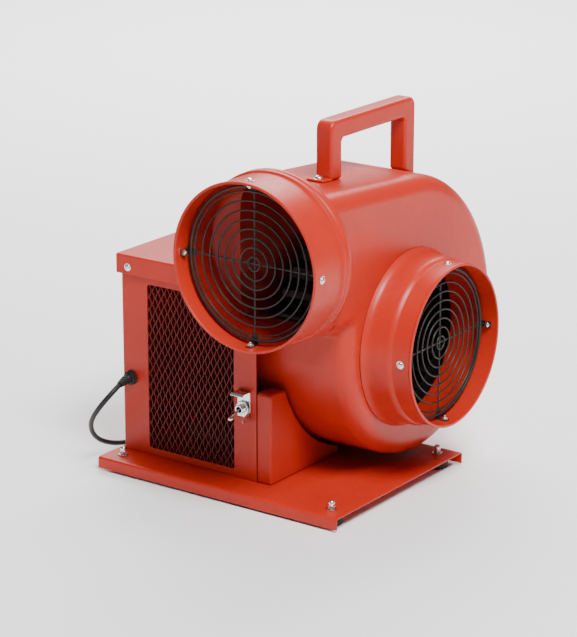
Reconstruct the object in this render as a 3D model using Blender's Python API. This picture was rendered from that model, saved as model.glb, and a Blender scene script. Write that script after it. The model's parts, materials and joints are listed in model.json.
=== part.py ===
"""Portable electric centrifugal blower: a scroll housing with a round inlet collar on its front and a
round outlet collar at its top left, driven by a motor in a sheet-metal box, all on one base plate.

Metres, +Z up. The fan axis runs along X, the inlet faces +X and the outlet faces -Y.
The origin is on the floor, under the middle of the whole object without its supply cord.
"""

import math

import bmesh
import bpy
import numpy as np
from mathutils import Matrix, Vector

GAP = 0.0003  # clearance between pieces that touch
SHEET = 0.0015  # thickness of the folded sheet metal

# Base plate
BASE_LOW = Vector((-0.200, -0.179, 0.0))
BASE_HIGH = Vector((0.166, 0.103, 0.018))
BASE_SHEET = 0.002
BASE_LIP = 0.0150
BOLT_INSET = 0.023
FOOT_RADIUS = 0.014
NUT_RADIUS = 0.0055

# Fan axis and scroll housing
AXIS_Y, AXIS_Z = 0.0267, 0.186
SCROLL_BACK, SCROLL_FRONT = -0.006, 0.134
SCROLL_SMALL, SCROLL_LARGE = 0.1357, 0.200
SCROLL_FULL_ANGLE = math.radians(190)
SCROLL_WALL = 0.003
SHOULDER = 0.022
MOUTH_Y = -0.1385
MOUTH_BOTTOM, MOUTH_TOP = 0.224, 0.398
BACK_PLATE = (-0.0085, -0.0063)

# Duct collars, both for the same 203 mm duct
COLLAR_RADIUS, COLLAR_BORE = 0.1016, 0.0990
INLET_RIM = 0.200
OUTLET_X, OUTLET_Z = 0.065, 0.321
OUTLET_RIM, OUTLET_ROOT = -0.2262, -0.1568
SCREW_INSET = 0.0145
GUARD_INSET = 0.022
GUARD_RINGS = (0.085, 0.0725, 0.060, 0.0475, 0.035, 0.0225)
GUARD_WIRE = 0.0030

# Motor box
BOX_LEFT, BOX_RIGHT = -0.192, -0.0092
BOX_FRONT, BOX_REAR = -0.1358, 0.0942
BOX_FLOOR = BASE_HIGH.z + GAP
BOX_TOP = 0.2745
WING_RIGHT, WING_TOP = 0.017, 0.210
LID_TOP, LID_LIP = 0.277, 0.025
GRILLE_LOW, GRILLE_HIGH = (-0.151, 0.028), (-0.017, 0.243)

# Support under the scroll
CRADLE = (0.0175, 0.039)
CRADLE_TOP = 0.135
CRADLE_CLEAR = 0.005

# Motor and fan wheel
SHAFT_RADIUS = 0.0075
MOTOR_RADIUS = 0.0595
WHEEL_RADIUS, WHEEL_EYE = 0.118, 0.098
WHEEL_BACK, WHEEL_FRONT = 0.010, 0.116
BLADES = 24

# Handle
HANDLE_X, HANDLE_Y = 0.064, 0.0297
HANDLE_SPAN, HANDLE_BAR = 0.185, 0.024
HANDLE_TOP = 0.465
HANDLE_CORNER = 0.012

# Switch
SWITCH_X, SWITCH_Z = -0.001, 0.112

# Supply cord: from the gland, round the left side of the base, to a coil behind the motor box
CORD_RADIUS = 0.00325
GLAND_X, GLAND_Z = -0.178, 0.116
CORD_ROUTE = (
    (-0.1786, -0.1600, 0.1120),
    (-0.1792, -0.1700, 0.1073),
    (-0.1820, -0.1782, 0.1002),
    (-0.1878, -0.1835, 0.0915),
    (-0.1955, -0.1850, 0.0810),
    (-0.2040, -0.1828, 0.0702),
    (-0.2120, -0.1775, 0.0592),
    (-0.2180, -0.1695, 0.0472),
    (-0.2215, -0.1590, 0.0350),
    (-0.2225, -0.1455, 0.0250),
    (-0.2215, -0.1290, 0.0170),
    (-0.2200, -0.1080, 0.0110),
    (-0.2195, -0.0840, 0.0068),
    (-0.2198, -0.0580, 0.0044),
    (-0.2205, -0.0300, 0.0036),
    (-0.2215, 0.0100, 0.0035),
    (-0.2215, 0.0500, 0.0035),
    (-0.2190, 0.0850, 0.0035),
    (-0.2080, 0.1150, 0.0035),
    (-0.1890, 0.1340, 0.0035),
    (-0.1640, 0.1404, 0.0035),
    (-0.1450, 0.1405, 0.0035),
)
CORD_STEP = 0.012
COIL_X, COIL_Y = -0.1000, 0.1790
COIL_RADIUS, COIL_WIDE, COIL_HIGH = 0.0385, 0.0240, 0.0240
PLUG_X, PLUG_Y = -0.0200, 0.1300


def clear_scene() -> None:
    """Remove every object of the startup scene."""
    for obj in list(bpy.data.objects):
        bpy.data.objects.remove(obj, do_unlink=True)


def finish(name: str, colour: tuple, roughness: float, metallic: float) -> bpy.types.Material:
    """A Principled material with one colour, roughness and metallic value."""
    made = bpy.data.materials.new(name)
    made.use_nodes = True
    shader = made.node_tree.nodes["Principled BSDF"]
    shader.inputs["Base Color"].default_value = (*colour, 1.0)
    shader.inputs["Roughness"].default_value = roughness
    shader.inputs["Metallic"].default_value = metallic
    return made


def add(name: str, mesh: bmesh.types.BMesh, material: bpy.types.Material) -> bpy.types.Object:
    """Put a bmesh in the scene as one object with its faces outward."""
    bmesh.ops.recalc_face_normals(mesh, faces=mesh.faces)
    data = bpy.data.meshes.new(name)
    mesh.to_mesh(data)
    mesh.free()
    data.materials.append(material)
    data.shade_smooth()
    data.set_sharp_from_angle(angle=math.radians(35))
    obj = bpy.data.objects.new(name, data)
    bpy.context.scene.collection.objects.link(obj)
    return obj


def place(axis: str, along: float, u: float, v: float) -> tuple:
    """A point from its distance along an axis and its two other coordinates, in X, Y, Z order."""
    if axis == "X":
        return (along, u, v)
    if axis == "Y":
        return (u, along, v)
    return (u, v, along)


def box(name: str, low: tuple, high: tuple, material, bevel: float = 0.0) -> bpy.types.Object:
    """A block between two corners, with its edges rounded if a bevel is given."""
    mesh = bmesh.new()
    bmesh.ops.create_cube(mesh, size=1.0)
    for vertex in mesh.verts:
        vertex.co = [low[k] + (vertex.co[k] + 0.5) * (high[k] - low[k]) for k in range(3)]
    if bevel:
        bmesh.ops.bevel(
            mesh, geom=list(mesh.edges), offset=bevel, segments=2, profile=0.5, affect="EDGES"
        )
    return add(name, mesh, material)


def prism(name: str, outline: list, axis: str, start: float, end: float, material):
    """An outline of (u, v) points extended along an axis from start to end."""
    mesh = bmesh.new()
    first = [mesh.verts.new(place(axis, start, u, v)) for u, v in outline]
    last = [mesh.verts.new(place(axis, end, u, v)) for u, v in outline]
    mesh.faces.new(first)
    mesh.faces.new(last)
    count = len(outline)
    for k in range(count):
        mesh.faces.new((first[k], first[(k + 1) % count], last[(k + 1) % count], last[k]))
    return add(name, mesh, material)


def turned(name: str, profile: list, axis: str, centre: tuple, material, segments: int = 32):
    """A profile of (radius, along) points turned about an axis through centre, its other two
    coordinates. A profile with no point on the axis closes on itself and makes a ring."""
    mesh = bmesh.new()
    rings = []
    for radius, along in profile:
        if radius == 0:
            rings.append([mesh.verts.new(place(axis, along, *centre))])
            continue
        ring = []
        for k in range(segments):
            turn = 2 * math.pi * k / segments
            u = centre[0] + radius * math.cos(turn)
            v = centre[1] + radius * math.sin(turn)
            ring.append(mesh.verts.new(place(axis, along, u, v)))
        rings.append(ring)
    pairs = list(zip(rings, rings[1:]))
    if all(len(ring) > 1 for ring in rings):
        pairs.append((rings[-1], rings[0]))
    for a, b in pairs:
        for k in range(segments):
            corners = [a[k % len(a)], a[(k + 1) % len(a)], b[(k + 1) % len(b)], b[k % len(b)]]
            corners = list(dict.fromkeys(corners))
            if len(corners) > 2:
                mesh.faces.new(corners)
    return add(name, mesh, material)


def swept(name: str, stations: list, material, sides: int = 12):
    """A round bar through stations of (centre, radius), each ring square to the way it runs."""
    mesh = bmesh.new()
    rings = []
    for k, (centre, radius) in enumerate(stations):
        before, after = stations[max(k - 1, 0)][0], stations[min(k + 1, len(stations) - 1)][0]
        along = (Vector(after) - Vector(before)).normalized()
        side = along.cross(Vector((1, 0, 0)) if abs(along.x) < 0.9 else Vector((0, 0, 1))).normalized()
        other = along.cross(side)
        ring = []
        for n in range(sides):
            turn = 2 * math.pi * n / sides
            offset = side * math.cos(turn) + other * math.sin(turn)
            ring.append(mesh.verts.new(Vector(centre) + radius * offset))
        rings.append(ring)
    mesh.faces.new(rings[0])
    mesh.faces.new(rings[-1])
    for a, b in zip(rings, rings[1:]):
        for k in range(sides):
            n = (k + 1) % sides
            mesh.faces.new((a[k], a[n], b[n], b[k]))
    return add(name, mesh, material)


def rod(name: str, start: Vector, end: Vector, radius: float, material, sides: int = 12):
    """A round bar from start to end."""
    return swept(name, [(start, radius), (end, radius)], material, sides)


def combine(target, other, operation: str) -> None:
    """Cut or join another object with a Boolean, and keep that object as a hidden helper."""
    other.hide_render = True
    other.display_type = "WIRE"
    modifier = target.modifiers.new(f"{operation.lower()} {other.name}", "BOOLEAN")
    modifier.operation = operation
    modifier.object = other
    modifier.solver = "EXACT"


def cut(target, *cutters) -> None:
    """Take cutters away from a piece."""
    for cutter in cutters:
        combine(target, cutter, "DIFFERENCE")


def join(target, *others) -> None:
    """Add other shapes to a piece, as one body."""
    for other in others:
        combine(target, other, "UNION")


def scroll_radius(angle: float) -> float:
    """Outer radius of the scroll at an angle from -Y, turning down and round to the top."""
    share = min(max(angle / SCROLL_FULL_ANGLE, 0.0), 1.0)
    eased = math.sin(math.pi / 2 * share**1.25) ** 2
    return SCROLL_SMALL + (SCROLL_LARGE - SCROLL_SMALL) * eased


def scroll_point(angle: float, inset: float = 0.0) -> tuple:
    """A (y, z) point of the scroll's outline, moved inward by inset."""
    radius = scroll_radius(angle) - inset
    return (AXIS_Y - radius * math.cos(angle), AXIS_Z - radius * math.sin(angle))


def scroll_top(y: float) -> float:
    """Height of the housing's upper surface above a place on the Y axis."""
    if y > AXIS_Y:
        return AXIS_Z + math.sqrt(SCROLL_LARGE**2 - (y - AXIS_Y) ** 2)
    share = (AXIS_Y - y) / (AXIS_Y - MOUTH_Y)
    return AXIS_Z + SCROLL_LARGE + share * (MOUTH_TOP - AXIS_Z - SCROLL_LARGE)


def scroll_outline(inset: float, mouth: float) -> list:
    """The housing's closed outline in Y and Z, with its mouth ending at Y = mouth."""
    points = [(mouth, MOUTH_BOTTOM + inset)]
    lip = (AXIS_Y - SCROLL_SMALL * math.cos(math.radians(-8)) + inset, MOUTH_BOTTOM + inset)
    fillet = 0.012
    for k in range(4):
        turn = math.radians(90 - 30 * k)
        points.append(
            (
                lip[0] - fillet + fillet * math.cos(turn),
                lip[1] - fillet + fillet * math.sin(turn),
            )
        )
    for k in range(1, 55):
        points.append(scroll_point(math.radians(270 * k / 54), inset))
    points.append((mouth, scroll_top(mouth) - inset))
    return points


def scroll_body(name: str, inset: float, back: float, front: float, mouth: float, material):
    """A closed body on the scroll's outline, with its front edge rounded."""
    mesh = bmesh.new()
    shoulder = SHOULDER - inset
    stations = [(back, 0.0)]
    for k in range(5):
        turn = math.pi / 2 * k / 4
        stations.append(
            (front - shoulder + shoulder * math.sin(turn), shoulder * (1 - math.cos(turn)))
        )
    loops = []
    for x, narrower in stations:
        outline = scroll_outline(inset + narrower, mouth)
        loops.append([mesh.verts.new((x, y, z)) for y, z in outline])
    mesh.faces.new(loops[0])
    mesh.faces.new(loops[-1])
    for a, b in zip(loops, loops[1:]):
        for k in range(len(a)):
            n = (k + 1) % len(a)
            mesh.faces.new((a[k], a[n], b[n], b[k]))
    return add(name, mesh, material)


def make_base(paint, rubber, zinc) -> None:
    """The base plate with its front and rear lips, four feet and four acorn nuts."""
    outline = [
        (BASE_LOW.y, BASE_HIGH.z),
        (BASE_LOW.y, BASE_HIGH.z - BASE_LIP),
        (BASE_LOW.y + BASE_SHEET, BASE_HIGH.z - BASE_LIP),
        (BASE_LOW.y + BASE_SHEET, BASE_HIGH.z - BASE_SHEET),
        (BASE_HIGH.y - BASE_SHEET, BASE_HIGH.z - BASE_SHEET),
        (BASE_HIGH.y - BASE_SHEET, BASE_HIGH.z - BASE_LIP),
        (BASE_HIGH.y, BASE_HIGH.z - BASE_LIP),
        (BASE_HIGH.y, BASE_HIGH.z),
    ]
    prism("base_plate", outline, "X", BASE_LOW.x, BASE_HIGH.x, paint)
    foot_top = BASE_HIGH.z - BASE_SHEET - GAP
    for end, x in (("left", BASE_LOW.x + BOLT_INSET), ("right", BASE_HIGH.x - BOLT_INSET)):
        for side, y in (("front", BASE_LOW.y + BOLT_INSET), ("rear", BASE_HIGH.y - BOLT_INSET)):
            foot = [(0, 0), (FOOT_RADIUS * 0.85, 0), (FOOT_RADIUS, 0.004)]
            foot += [(FOOT_RADIUS, foot_top - 0.004), (FOOT_RADIUS * 0.9, foot_top), (0, foot_top)]
            turned(f"foot_{side}_{end}", foot, "Z", (x, y), rubber, 20)
            low = BASE_HIGH.z + GAP
            nut = [(0, low), (NUT_RADIUS * 1.5, low), (NUT_RADIUS * 1.5, low + 0.0012)]
            nut += [(NUT_RADIUS, low + 0.0013), (NUT_RADIUS, low + 0.0065)]
            nut += [(NUT_RADIUS * 0.8, low + 0.0095), (NUT_RADIUS * 0.4, low + 0.0115)]
            nut.append((0, low + 0.0120))
            turned(f"acorn_nut_{side}_{end}", nut, "Z", (x, y), zinc, 12)


def make_motor_box(paint, zinc) -> None:
    """The box's wrap of front, left and rear walls, its inner bulkhead, lid and two lid screws."""
    outline = [
        (WING_RIGHT, BOX_FRONT),
        (BOX_LEFT, BOX_FRONT),
        (BOX_LEFT, BOX_REAR),
        (BOX_RIGHT, BOX_REAR),
        (BOX_RIGHT, BOX_REAR - SHEET),
        (BOX_LEFT + SHEET, BOX_REAR - SHEET),
        (BOX_LEFT + SHEET, BOX_FRONT + SHEET),
        (WING_RIGHT, BOX_FRONT + SHEET),
    ]
    wrap = prism("motor_box", outline, "Z", BOX_FLOOR, BOX_TOP, paint)
    front = (BOX_FRONT - 0.01, BOX_FRONT + 0.01)
    cutters = [
        box(
            "cut_above_wing",
            (BOX_RIGHT, front[0], WING_TOP),
            (WING_RIGHT + 0.01, front[1], BOX_TOP + 0.01),
            paint,
        ),
        box(
            "cut_grille_opening",
            (GRILLE_LOW[0], front[0], GRILLE_LOW[1]),
            (GRILLE_HIGH[0], front[1], GRILLE_HIGH[1]),
            paint,
        ),
    ]
    for name, x, z, radius in (
        ("cut_gland_hole", GLAND_X, GLAND_Z, 0.0066),
        ("cut_switch_hole", SWITCH_X, SWITCH_Z, 0.0063),
    ):
        profile = [(0, front[0]), (radius, front[0]), (radius, front[1]), (0, front[1])]
        cutters.append(turned(name, profile, "Y", (x, z), paint, 20))
    for k in range(6):
        z = 0.073 + 0.024 * k
        low = (BOX_LEFT + 0.045, BOX_REAR - 0.01, z)
        high = (BOX_RIGHT - 0.045, BOX_REAR + 0.01, z + 0.006)
        cutters.append(box(f"cut_rear_vent_{k + 1}", low, high, paint))
    cut(wrap, *cutters)

    bulkhead = box(
        "box_bulkhead",
        (-0.0110, BOX_FRONT + SHEET + GAP, BOX_FLOOR),
        (-0.0095, BOX_REAR - SHEET - GAP, BOX_TOP - GAP),
        paint,
    )
    hole = [(0, -0.03), (0.034, -0.03), (0.034, 0.0), (0, 0.0)]
    cut(bulkhead, turned("cut_bulkhead_hole", hole, "X", (AXIS_Y, AXIS_Z), paint, 32))

    lid = box(
        "box_lid", (-0.198, BOX_FRONT - 0.0035, LID_TOP - LID_LIP), (BOX_RIGHT, 0.0977, LID_TOP), paint
    )
    hollow = box(
        "cut_lid_inside",
        (-0.198 + SHEET, BOX_FRONT - 0.0035 + SHEET, LID_TOP - LID_LIP - 0.01),
        (0.01, 0.0977 - SHEET, LID_TOP - 0.002),
        paint,
    )
    cut(lid, hollow)
    for k, x in enumerate((-0.178, -0.040)):
        low = BOX_FRONT - 0.0035 - GAP
        head = [(0, low), (0.0035, low), (0.0032, low - 0.0014), (0.0015, low - 0.0022)]
        head.append((0, low - 0.0023))
        turned(f"lid_screw_{k + 1}", head, "Y", (x, LID_TOP - 0.0155), zinc, 12)


def make_front_grille(paint) -> None:
    """The expanded-metal sheet behind the front opening, with its staggered diamond openings."""
    rim = 0.006
    low = (GRILLE_LOW[0] - rim, GRILLE_LOW[1] - rim)
    high = (GRILLE_HIGH[0] + rim, GRILLE_HIGH[1] + rim)
    back = BOX_FRONT + SHEET + GAP
    grille = box("front_grille", (low[0], back, low[1]), (high[0], back + 0.0012, high[1]), paint)
    mesh = bmesh.new()
    columns, rows = 10, 8
    step_x = (GRILLE_HIGH[0] - GRILLE_LOW[0]) / columns
    step_z = (GRILLE_HIGH[1] - GRILLE_LOW[1]) / rows
    for column in range(columns):
        for row in range(rows - column % 2):
            x = GRILLE_LOW[0] + (column + 0.5) * step_x
            z = GRILLE_LOW[1] + (row + 0.5 + 0.5 * (column % 2)) * step_z
            corners = ((0.36, 0), (0, 0.44), (-0.36, 0), (0, -0.44))
            rings = []
            for y in (back - 0.002, back + 0.004):
                rings.append(
                    [mesh.verts.new((x + a * step_x, y, z + b * step_z)) for a, b in corners]
                )
            mesh.faces.new(rings[0])
            mesh.faces.new(rings[1])
            for k in range(4):
                n = (k + 1) % 4
                mesh.faces.new((rings[0][k], rings[0][n], rings[1][n], rings[1][k]))
    cut(grille, add("cut_grille_diamonds", mesh, paint))


def make_cradle(paint) -> None:
    """The folded support that stands under the scroll and carries the front of the housing."""

    def outline(inset: float, floor: float, last: float) -> list:
        points = [(BOX_FRONT + inset, floor), (BOX_FRONT + inset, CRADLE_TOP - inset)]
        for k in range(13):
            angle = math.radians(22 + (last - 22) * k / 12)
            y, z = scroll_point(angle, -CRADLE_CLEAR - inset)
            points.append((y, min(z, CRADLE_TOP - inset)))
        points.append((points[-1][0], floor))
        return points

    cradle = prism("scroll_cradle", outline(0.0, BOX_FLOOR, 84), "X", *CRADLE, paint)
    inside = prism(
        "cut_cradle_inside", outline(SHEET, 0.010, 58), "X", CRADLE[0] + SHEET, CRADLE[1] - SHEET, paint
    )
    cut(cradle, inside)


def make_scroll(paint) -> None:
    """The scroll housing with its open mouth and inlet hole, and the plate that closes its back."""
    shell = scroll_body("scroll_housing", 0.0, SCROLL_BACK, SCROLL_FRONT, -0.170, paint)
    inside = scroll_body(
        "cut_scroll_inside", SCROLL_WALL, -0.02, SCROLL_FRONT - SCROLL_WALL, -0.200, paint
    )
    mouth = box("cut_scroll_mouth", (-0.1, -0.25, 0.1), (0.3, MOUTH_Y, 0.5), paint)
    eye = [(0, 0.10), (COLLAR_BORE, 0.10), (COLLAR_BORE, 0.16), (0, 0.16)]
    inlet = turned("cut_scroll_eye", eye, "X", (AXIS_Y, AXIS_Z), paint, 48)
    cut(shell, inside, mouth, inlet)

    plate = prism("scroll_back_plate", scroll_outline(0.0, MOUTH_Y), "X", *BACK_PLATE, paint)
    hole = [(0, -0.03), (0.011, -0.03), (0.011, 0.02), (0, 0.02)]
    cut(plate, turned("cut_shaft_hole", hole, "X", (AXIS_Y, AXIS_Z), paint, 20))


SCREW_SPOTS = (("top", (0, 1)), ("bottom", (0, -1)), ("near", (-1, 0)), ("far", (1, 0)))


def make_collar(name: str, axis: str, centre: tuple, profile: list, screws_at: float, paint, zinc):
    """A duct collar with four screws through its rim."""
    collar = turned(name, profile, axis, centre, paint, 56)
    for spot, (u, v) in SCREW_SPOTS:

        def at(radius: float) -> Vector:
            return Vector(place(axis, screws_at, centre[0] + u * radius, centre[1] + v * radius))

        cut(collar, rod(f"cut_{name}_{spot}", at(0.090), at(0.110), 0.0026, paint, 10))
        screw = rod(f"{name}_screw_{spot}", at(0.0930), at(0.1035), 0.0021, zinc, 10)
        head = rod(f"join_{name}_head_{spot}", at(COLLAR_RADIUS + GAP), at(0.1046), 0.0042, zinc, 12)
        nut = rod(f"join_{name}_nut_{spot}", at(0.0940), at(0.0975), 0.0040, zinc, 6)
        join(screw, head, nut)


def make_collars(paint, zinc) -> None:
    """The inlet collar on the housing's front and the outlet collar on the mouth adapter."""
    root = SCROLL_FRONT + GAP
    inlet = [
        (COLLAR_BORE, root),
        (0.1125, root),
        (0.1120, root + 0.004),
        (0.1070, root + 0.008),
        (0.1055, root + 0.016),
        (0.1050, root + 0.034),
        (0.1035, root + 0.038),
        (COLLAR_RADIUS, root + 0.040),
        (COLLAR_RADIUS, INLET_RIM - 0.003),
        (COLLAR_RADIUS + 0.0008, INLET_RIM - 0.0015),
        (COLLAR_RADIUS, INLET_RIM),
        (COLLAR_BORE, INLET_RIM),
    ]
    make_collar(
        "inlet_collar", "X", (AXIS_Y, AXIS_Z), inlet, INLET_RIM - SCREW_INSET, paint, zinc
    )
    outlet = [
        (COLLAR_BORE, OUTLET_ROOT),
        (0.1045, OUTLET_ROOT),
        (0.1050, OUTLET_ROOT - 0.003),
        (0.1045, OUTLET_ROOT - 0.006),
        (0.1036, OUTLET_ROOT - 0.0075),
        (0.1045, OUTLET_ROOT - 0.009),
        (0.1048, OUTLET_ROOT - 0.012),
        (0.1040, OUTLET_ROOT - 0.015),
        (COLLAR_RADIUS, OUTLET_ROOT - 0.016),
        (COLLAR_RADIUS, OUTLET_RIM + 0.003),
        (COLLAR_RADIUS + 0.0008, OUTLET_RIM + 0.0015),
        (COLLAR_RADIUS, OUTLET_RIM),
        (COLLAR_BORE, OUTLET_RIM),
    ]
    make_collar(
        "outlet_collar", "Y", (OUTLET_X, OUTLET_Z), outlet, OUTLET_RIM + SCREW_INSET, paint, zinc
    )


def mouth_section(share: float, inset: float) -> list:
    """One (x, z) section of the adapter, from the mouth's rectangle (0) to the collar's circle (1)."""
    half_x = (SCROLL_FRONT - SCROLL_BACK) / 2 - inset
    half_z = (MOUTH_TOP - MOUTH_BOTTOM) / 2 - inset
    mid_x, mid_z = (SCROLL_FRONT + SCROLL_BACK) / 2, (MOUTH_TOP + MOUTH_BOTTOM) / 2
    points = []
    for k in range(48):
        turn = 2 * math.pi * k / 48
        c, s = math.cos(turn), math.sin(turn)
        power = 0.30
        flat = (
            mid_x - OUTLET_X + half_x * math.copysign(abs(c) ** power, c),
            mid_z - OUTLET_Z + half_z * math.copysign(abs(s) ** power, s),
        )
        radius = 0.1038 - inset
        x = OUTLET_X + (1 - share) * flat[0] + share * radius * c
        z = OUTLET_Z + (1 - share) * flat[1] + share * radius * s
        points.append((x, z))
    return points


def make_adapter(paint) -> None:
    """The short flared piece that joins the housing's rectangular mouth to the round collar."""
    start, end = MOUTH_Y - GAP, OUTLET_ROOT + GAP
    mesh = bmesh.new()
    loops = []
    for inset, shares in ((0.0, range(0, 5)), (0.0025, range(4, -1, -1))):
        for k in shares:
            share = math.sin(math.pi / 2 * k / 4)
            y = start + (end - start) * k / 4
            loops.append([mesh.verts.new((x, y, z)) for x, z in mouth_section(share, inset)])
    for a, b in zip(loops, loops[1:] + loops[:1]):
        for k in range(48):
            n = (k + 1) % 48
            mesh.faces.new((a[k], a[n], b[n], b[k]))
    add("outlet_adapter", mesh, paint)


def make_guard(name: str, axis: str, centre: tuple, along: float, inward: float, steel) -> None:
    """A wire finger guard: rings joined by four spokes that reach the collar's wall."""
    half = GUARD_WIRE / 2
    guard = None
    for k, radius in enumerate(GUARD_RINGS):
        profile = [
            (radius - half, along - half),
            (radius + half, along - half),
            (radius + half, along + half),
            (radius - half, along + half),
        ]
        ring = turned(f"{name}" if k == 0 else f"join_{name}_ring_{k}", profile, axis, centre, steel, 32)
        if guard is None:
            guard = ring
        else:
            join(guard, ring)
    reach = COLLAR_BORE - 0.0006
    behind = along + inward * GUARD_WIRE * 0.7
    for k, (u, v) in enumerate(((1, 0), (0, 1))):
        start = place(axis, behind, centre[0] - u * reach, centre[1] - v * reach)
        end = place(axis, behind, centre[0] + u * reach, centre[1] + v * reach)
        join(guard, rod(f"join_{name}_spoke_{k}", Vector(start), Vector(end), half, steel, 6))
    hub = [(0, along - half), (0.0125, along - half), (0.0125, along + half), (0, along + half)]
    join(guard, turned(f"join_{name}_hub", hub, axis, centre, steel, 16))


def make_handle(paint, zinc) -> None:
    """The carrying handle, its feet following the housing, and its two bolts."""
    near, far = HANDLE_Y - HANDLE_SPAN / 2, HANDLE_Y + HANDLE_SPAN / 2
    tab, plate = 0.018, 0.003
    r = HANDLE_CORNER
    under = HANDLE_TOP - HANDLE_BAR

    def seat(y: float) -> float:
        return scroll_top(y) + GAP

    points = [(near - tab, seat(near - tab)), (near - tab, seat(near - tab) + plate)]
    points.append((near, seat(near) + plate))
    for k in range(5):
        turn = math.radians(180 - 90 * k / 4)
        points.append((near + r + r * math.cos(turn), HANDLE_TOP - r + r * math.sin(turn)))
    for k in range(5):
        turn = math.radians(90 - 90 * k / 4)
        points.append((far - r + r * math.cos(turn), HANDLE_TOP - r + r * math.sin(turn)))
    for y in (far, far + tab / 2, far + tab):
        points.append((y, seat(y) + plate))
    for y in (far + tab, far + tab / 2, far, far - HANDLE_BAR / 2, far - HANDLE_BAR):
        points.append((y, seat(y)))
    inner = 0.006
    for k in range(4):
        turn = math.radians(90 * k / 3)
        y = far - HANDLE_BAR - inner + inner * math.cos(turn)
        points.append((y, under - inner + inner * math.sin(turn)))
    for k in range(4):
        turn = math.radians(90 + 90 * k / 3)
        y = near + HANDLE_BAR + inner + inner * math.cos(turn)
        points.append((y, under - inner + inner * math.sin(turn)))
    points.append((near + HANDLE_BAR, seat(near + HANDLE_BAR)))
    half = HANDLE_BAR / 2
    prism("carry_handle", points, "X", HANDLE_X - half, HANDLE_X + half, paint)
    for name, y in (("near", near - tab / 2), ("far", far + tab / 2)):
        up = Vector((0, 0, 1)) if y < AXIS_Y else Vector((0, y - AXIS_Y, seat(y) - AXIS_Z)).normalized()
        foot = Vector((HANDLE_X, y, seat(y) + plate * 1.05)) + up * 0.0006
        rod(f"handle_bolt_{name}", foot, foot + up * 0.0045, 0.0055, zinc, 6)


def make_motor(body, steel, dark) -> None:
    """The motor inside the box: shell, two end bells, winding, stand and start capacitor."""
    centre = (AXIS_Y, AXIS_Z)
    shell = [(0.0562, -0.1155), (MOTOR_RADIUS, -0.1155), (MOTOR_RADIUS, -0.0355), (0.0562, -0.0355)]
    turned("motor_shell", shell, "X", centre, body, 32)
    winding = [(0.0415, -0.100), (0.0558, -0.100), (0.0558, -0.050), (0.0415, -0.050)]
    turned("motor_stator", winding, "X", centre, dark, 32)
    rear = [
        (0.0084, -0.1360),
        (0.0480, -0.1360),
        (MOTOR_RADIUS, -0.1280),
        (MOTOR_RADIUS, -0.1158),
        (0.0180, -0.1158),
        (0.0180, -0.1290),
        (0.0084, -0.1290),
    ]
    turned("motor_rear_bell", rear, "X", centre, steel, 32)
    front = [
        (0.0084, -0.0088),
        (0.0300, -0.0088),
        (0.0300, -0.0115),
        (0.0480, -0.0115),
        (MOTOR_RADIUS, -0.0220),
        (MOTOR_RADIUS, -0.0352),
        (0.0180, -0.0352),
        (0.0180, -0.0220),
        (0.0084, -0.0220),
    ]
    turned("motor_front_bell", front, "X", centre, steel, 32)
    for name, start in (("front", -0.0330), ("rear", -0.1285)):
        race = [(0.0079, start), (0.0177, start), (0.0177, start + 0.010), (0.0079, start + 0.010)]
        turned(f"shaft_bearing_{name}", race, "X", centre, steel, 24)

    saddle = []
    for k in range(13):
        turn = math.radians(215 + 110 * k / 12)
        reach = MOTOR_RADIUS + GAP
        saddle.append((AXIS_Y + reach * math.cos(turn), AXIS_Z + reach * math.sin(turn)))
    saddle += [(AXIS_Y + 0.055, BOX_FLOOR), (AXIS_Y - 0.055, BOX_FLOOR)]
    stand = prism("motor_stand", saddle, "X", -0.079, -0.075, body)
    low = (-0.094, AXIS_Y - 0.055, BOX_FLOOR)
    high = (-0.0755, AXIS_Y + 0.055, BOX_FLOOR + 0.003)
    join(stand, box("join_stand_foot", low, high, body))

    can = [(0, -0.120), (0.017, -0.120), (0.019, -0.118), (0.019, -0.052), (0.017, -0.050)]
    can.append((0, -0.050))
    turned("start_capacitor", can, "X", (AXIS_Y - 0.105, 0.0425), dark, 20)


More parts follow.
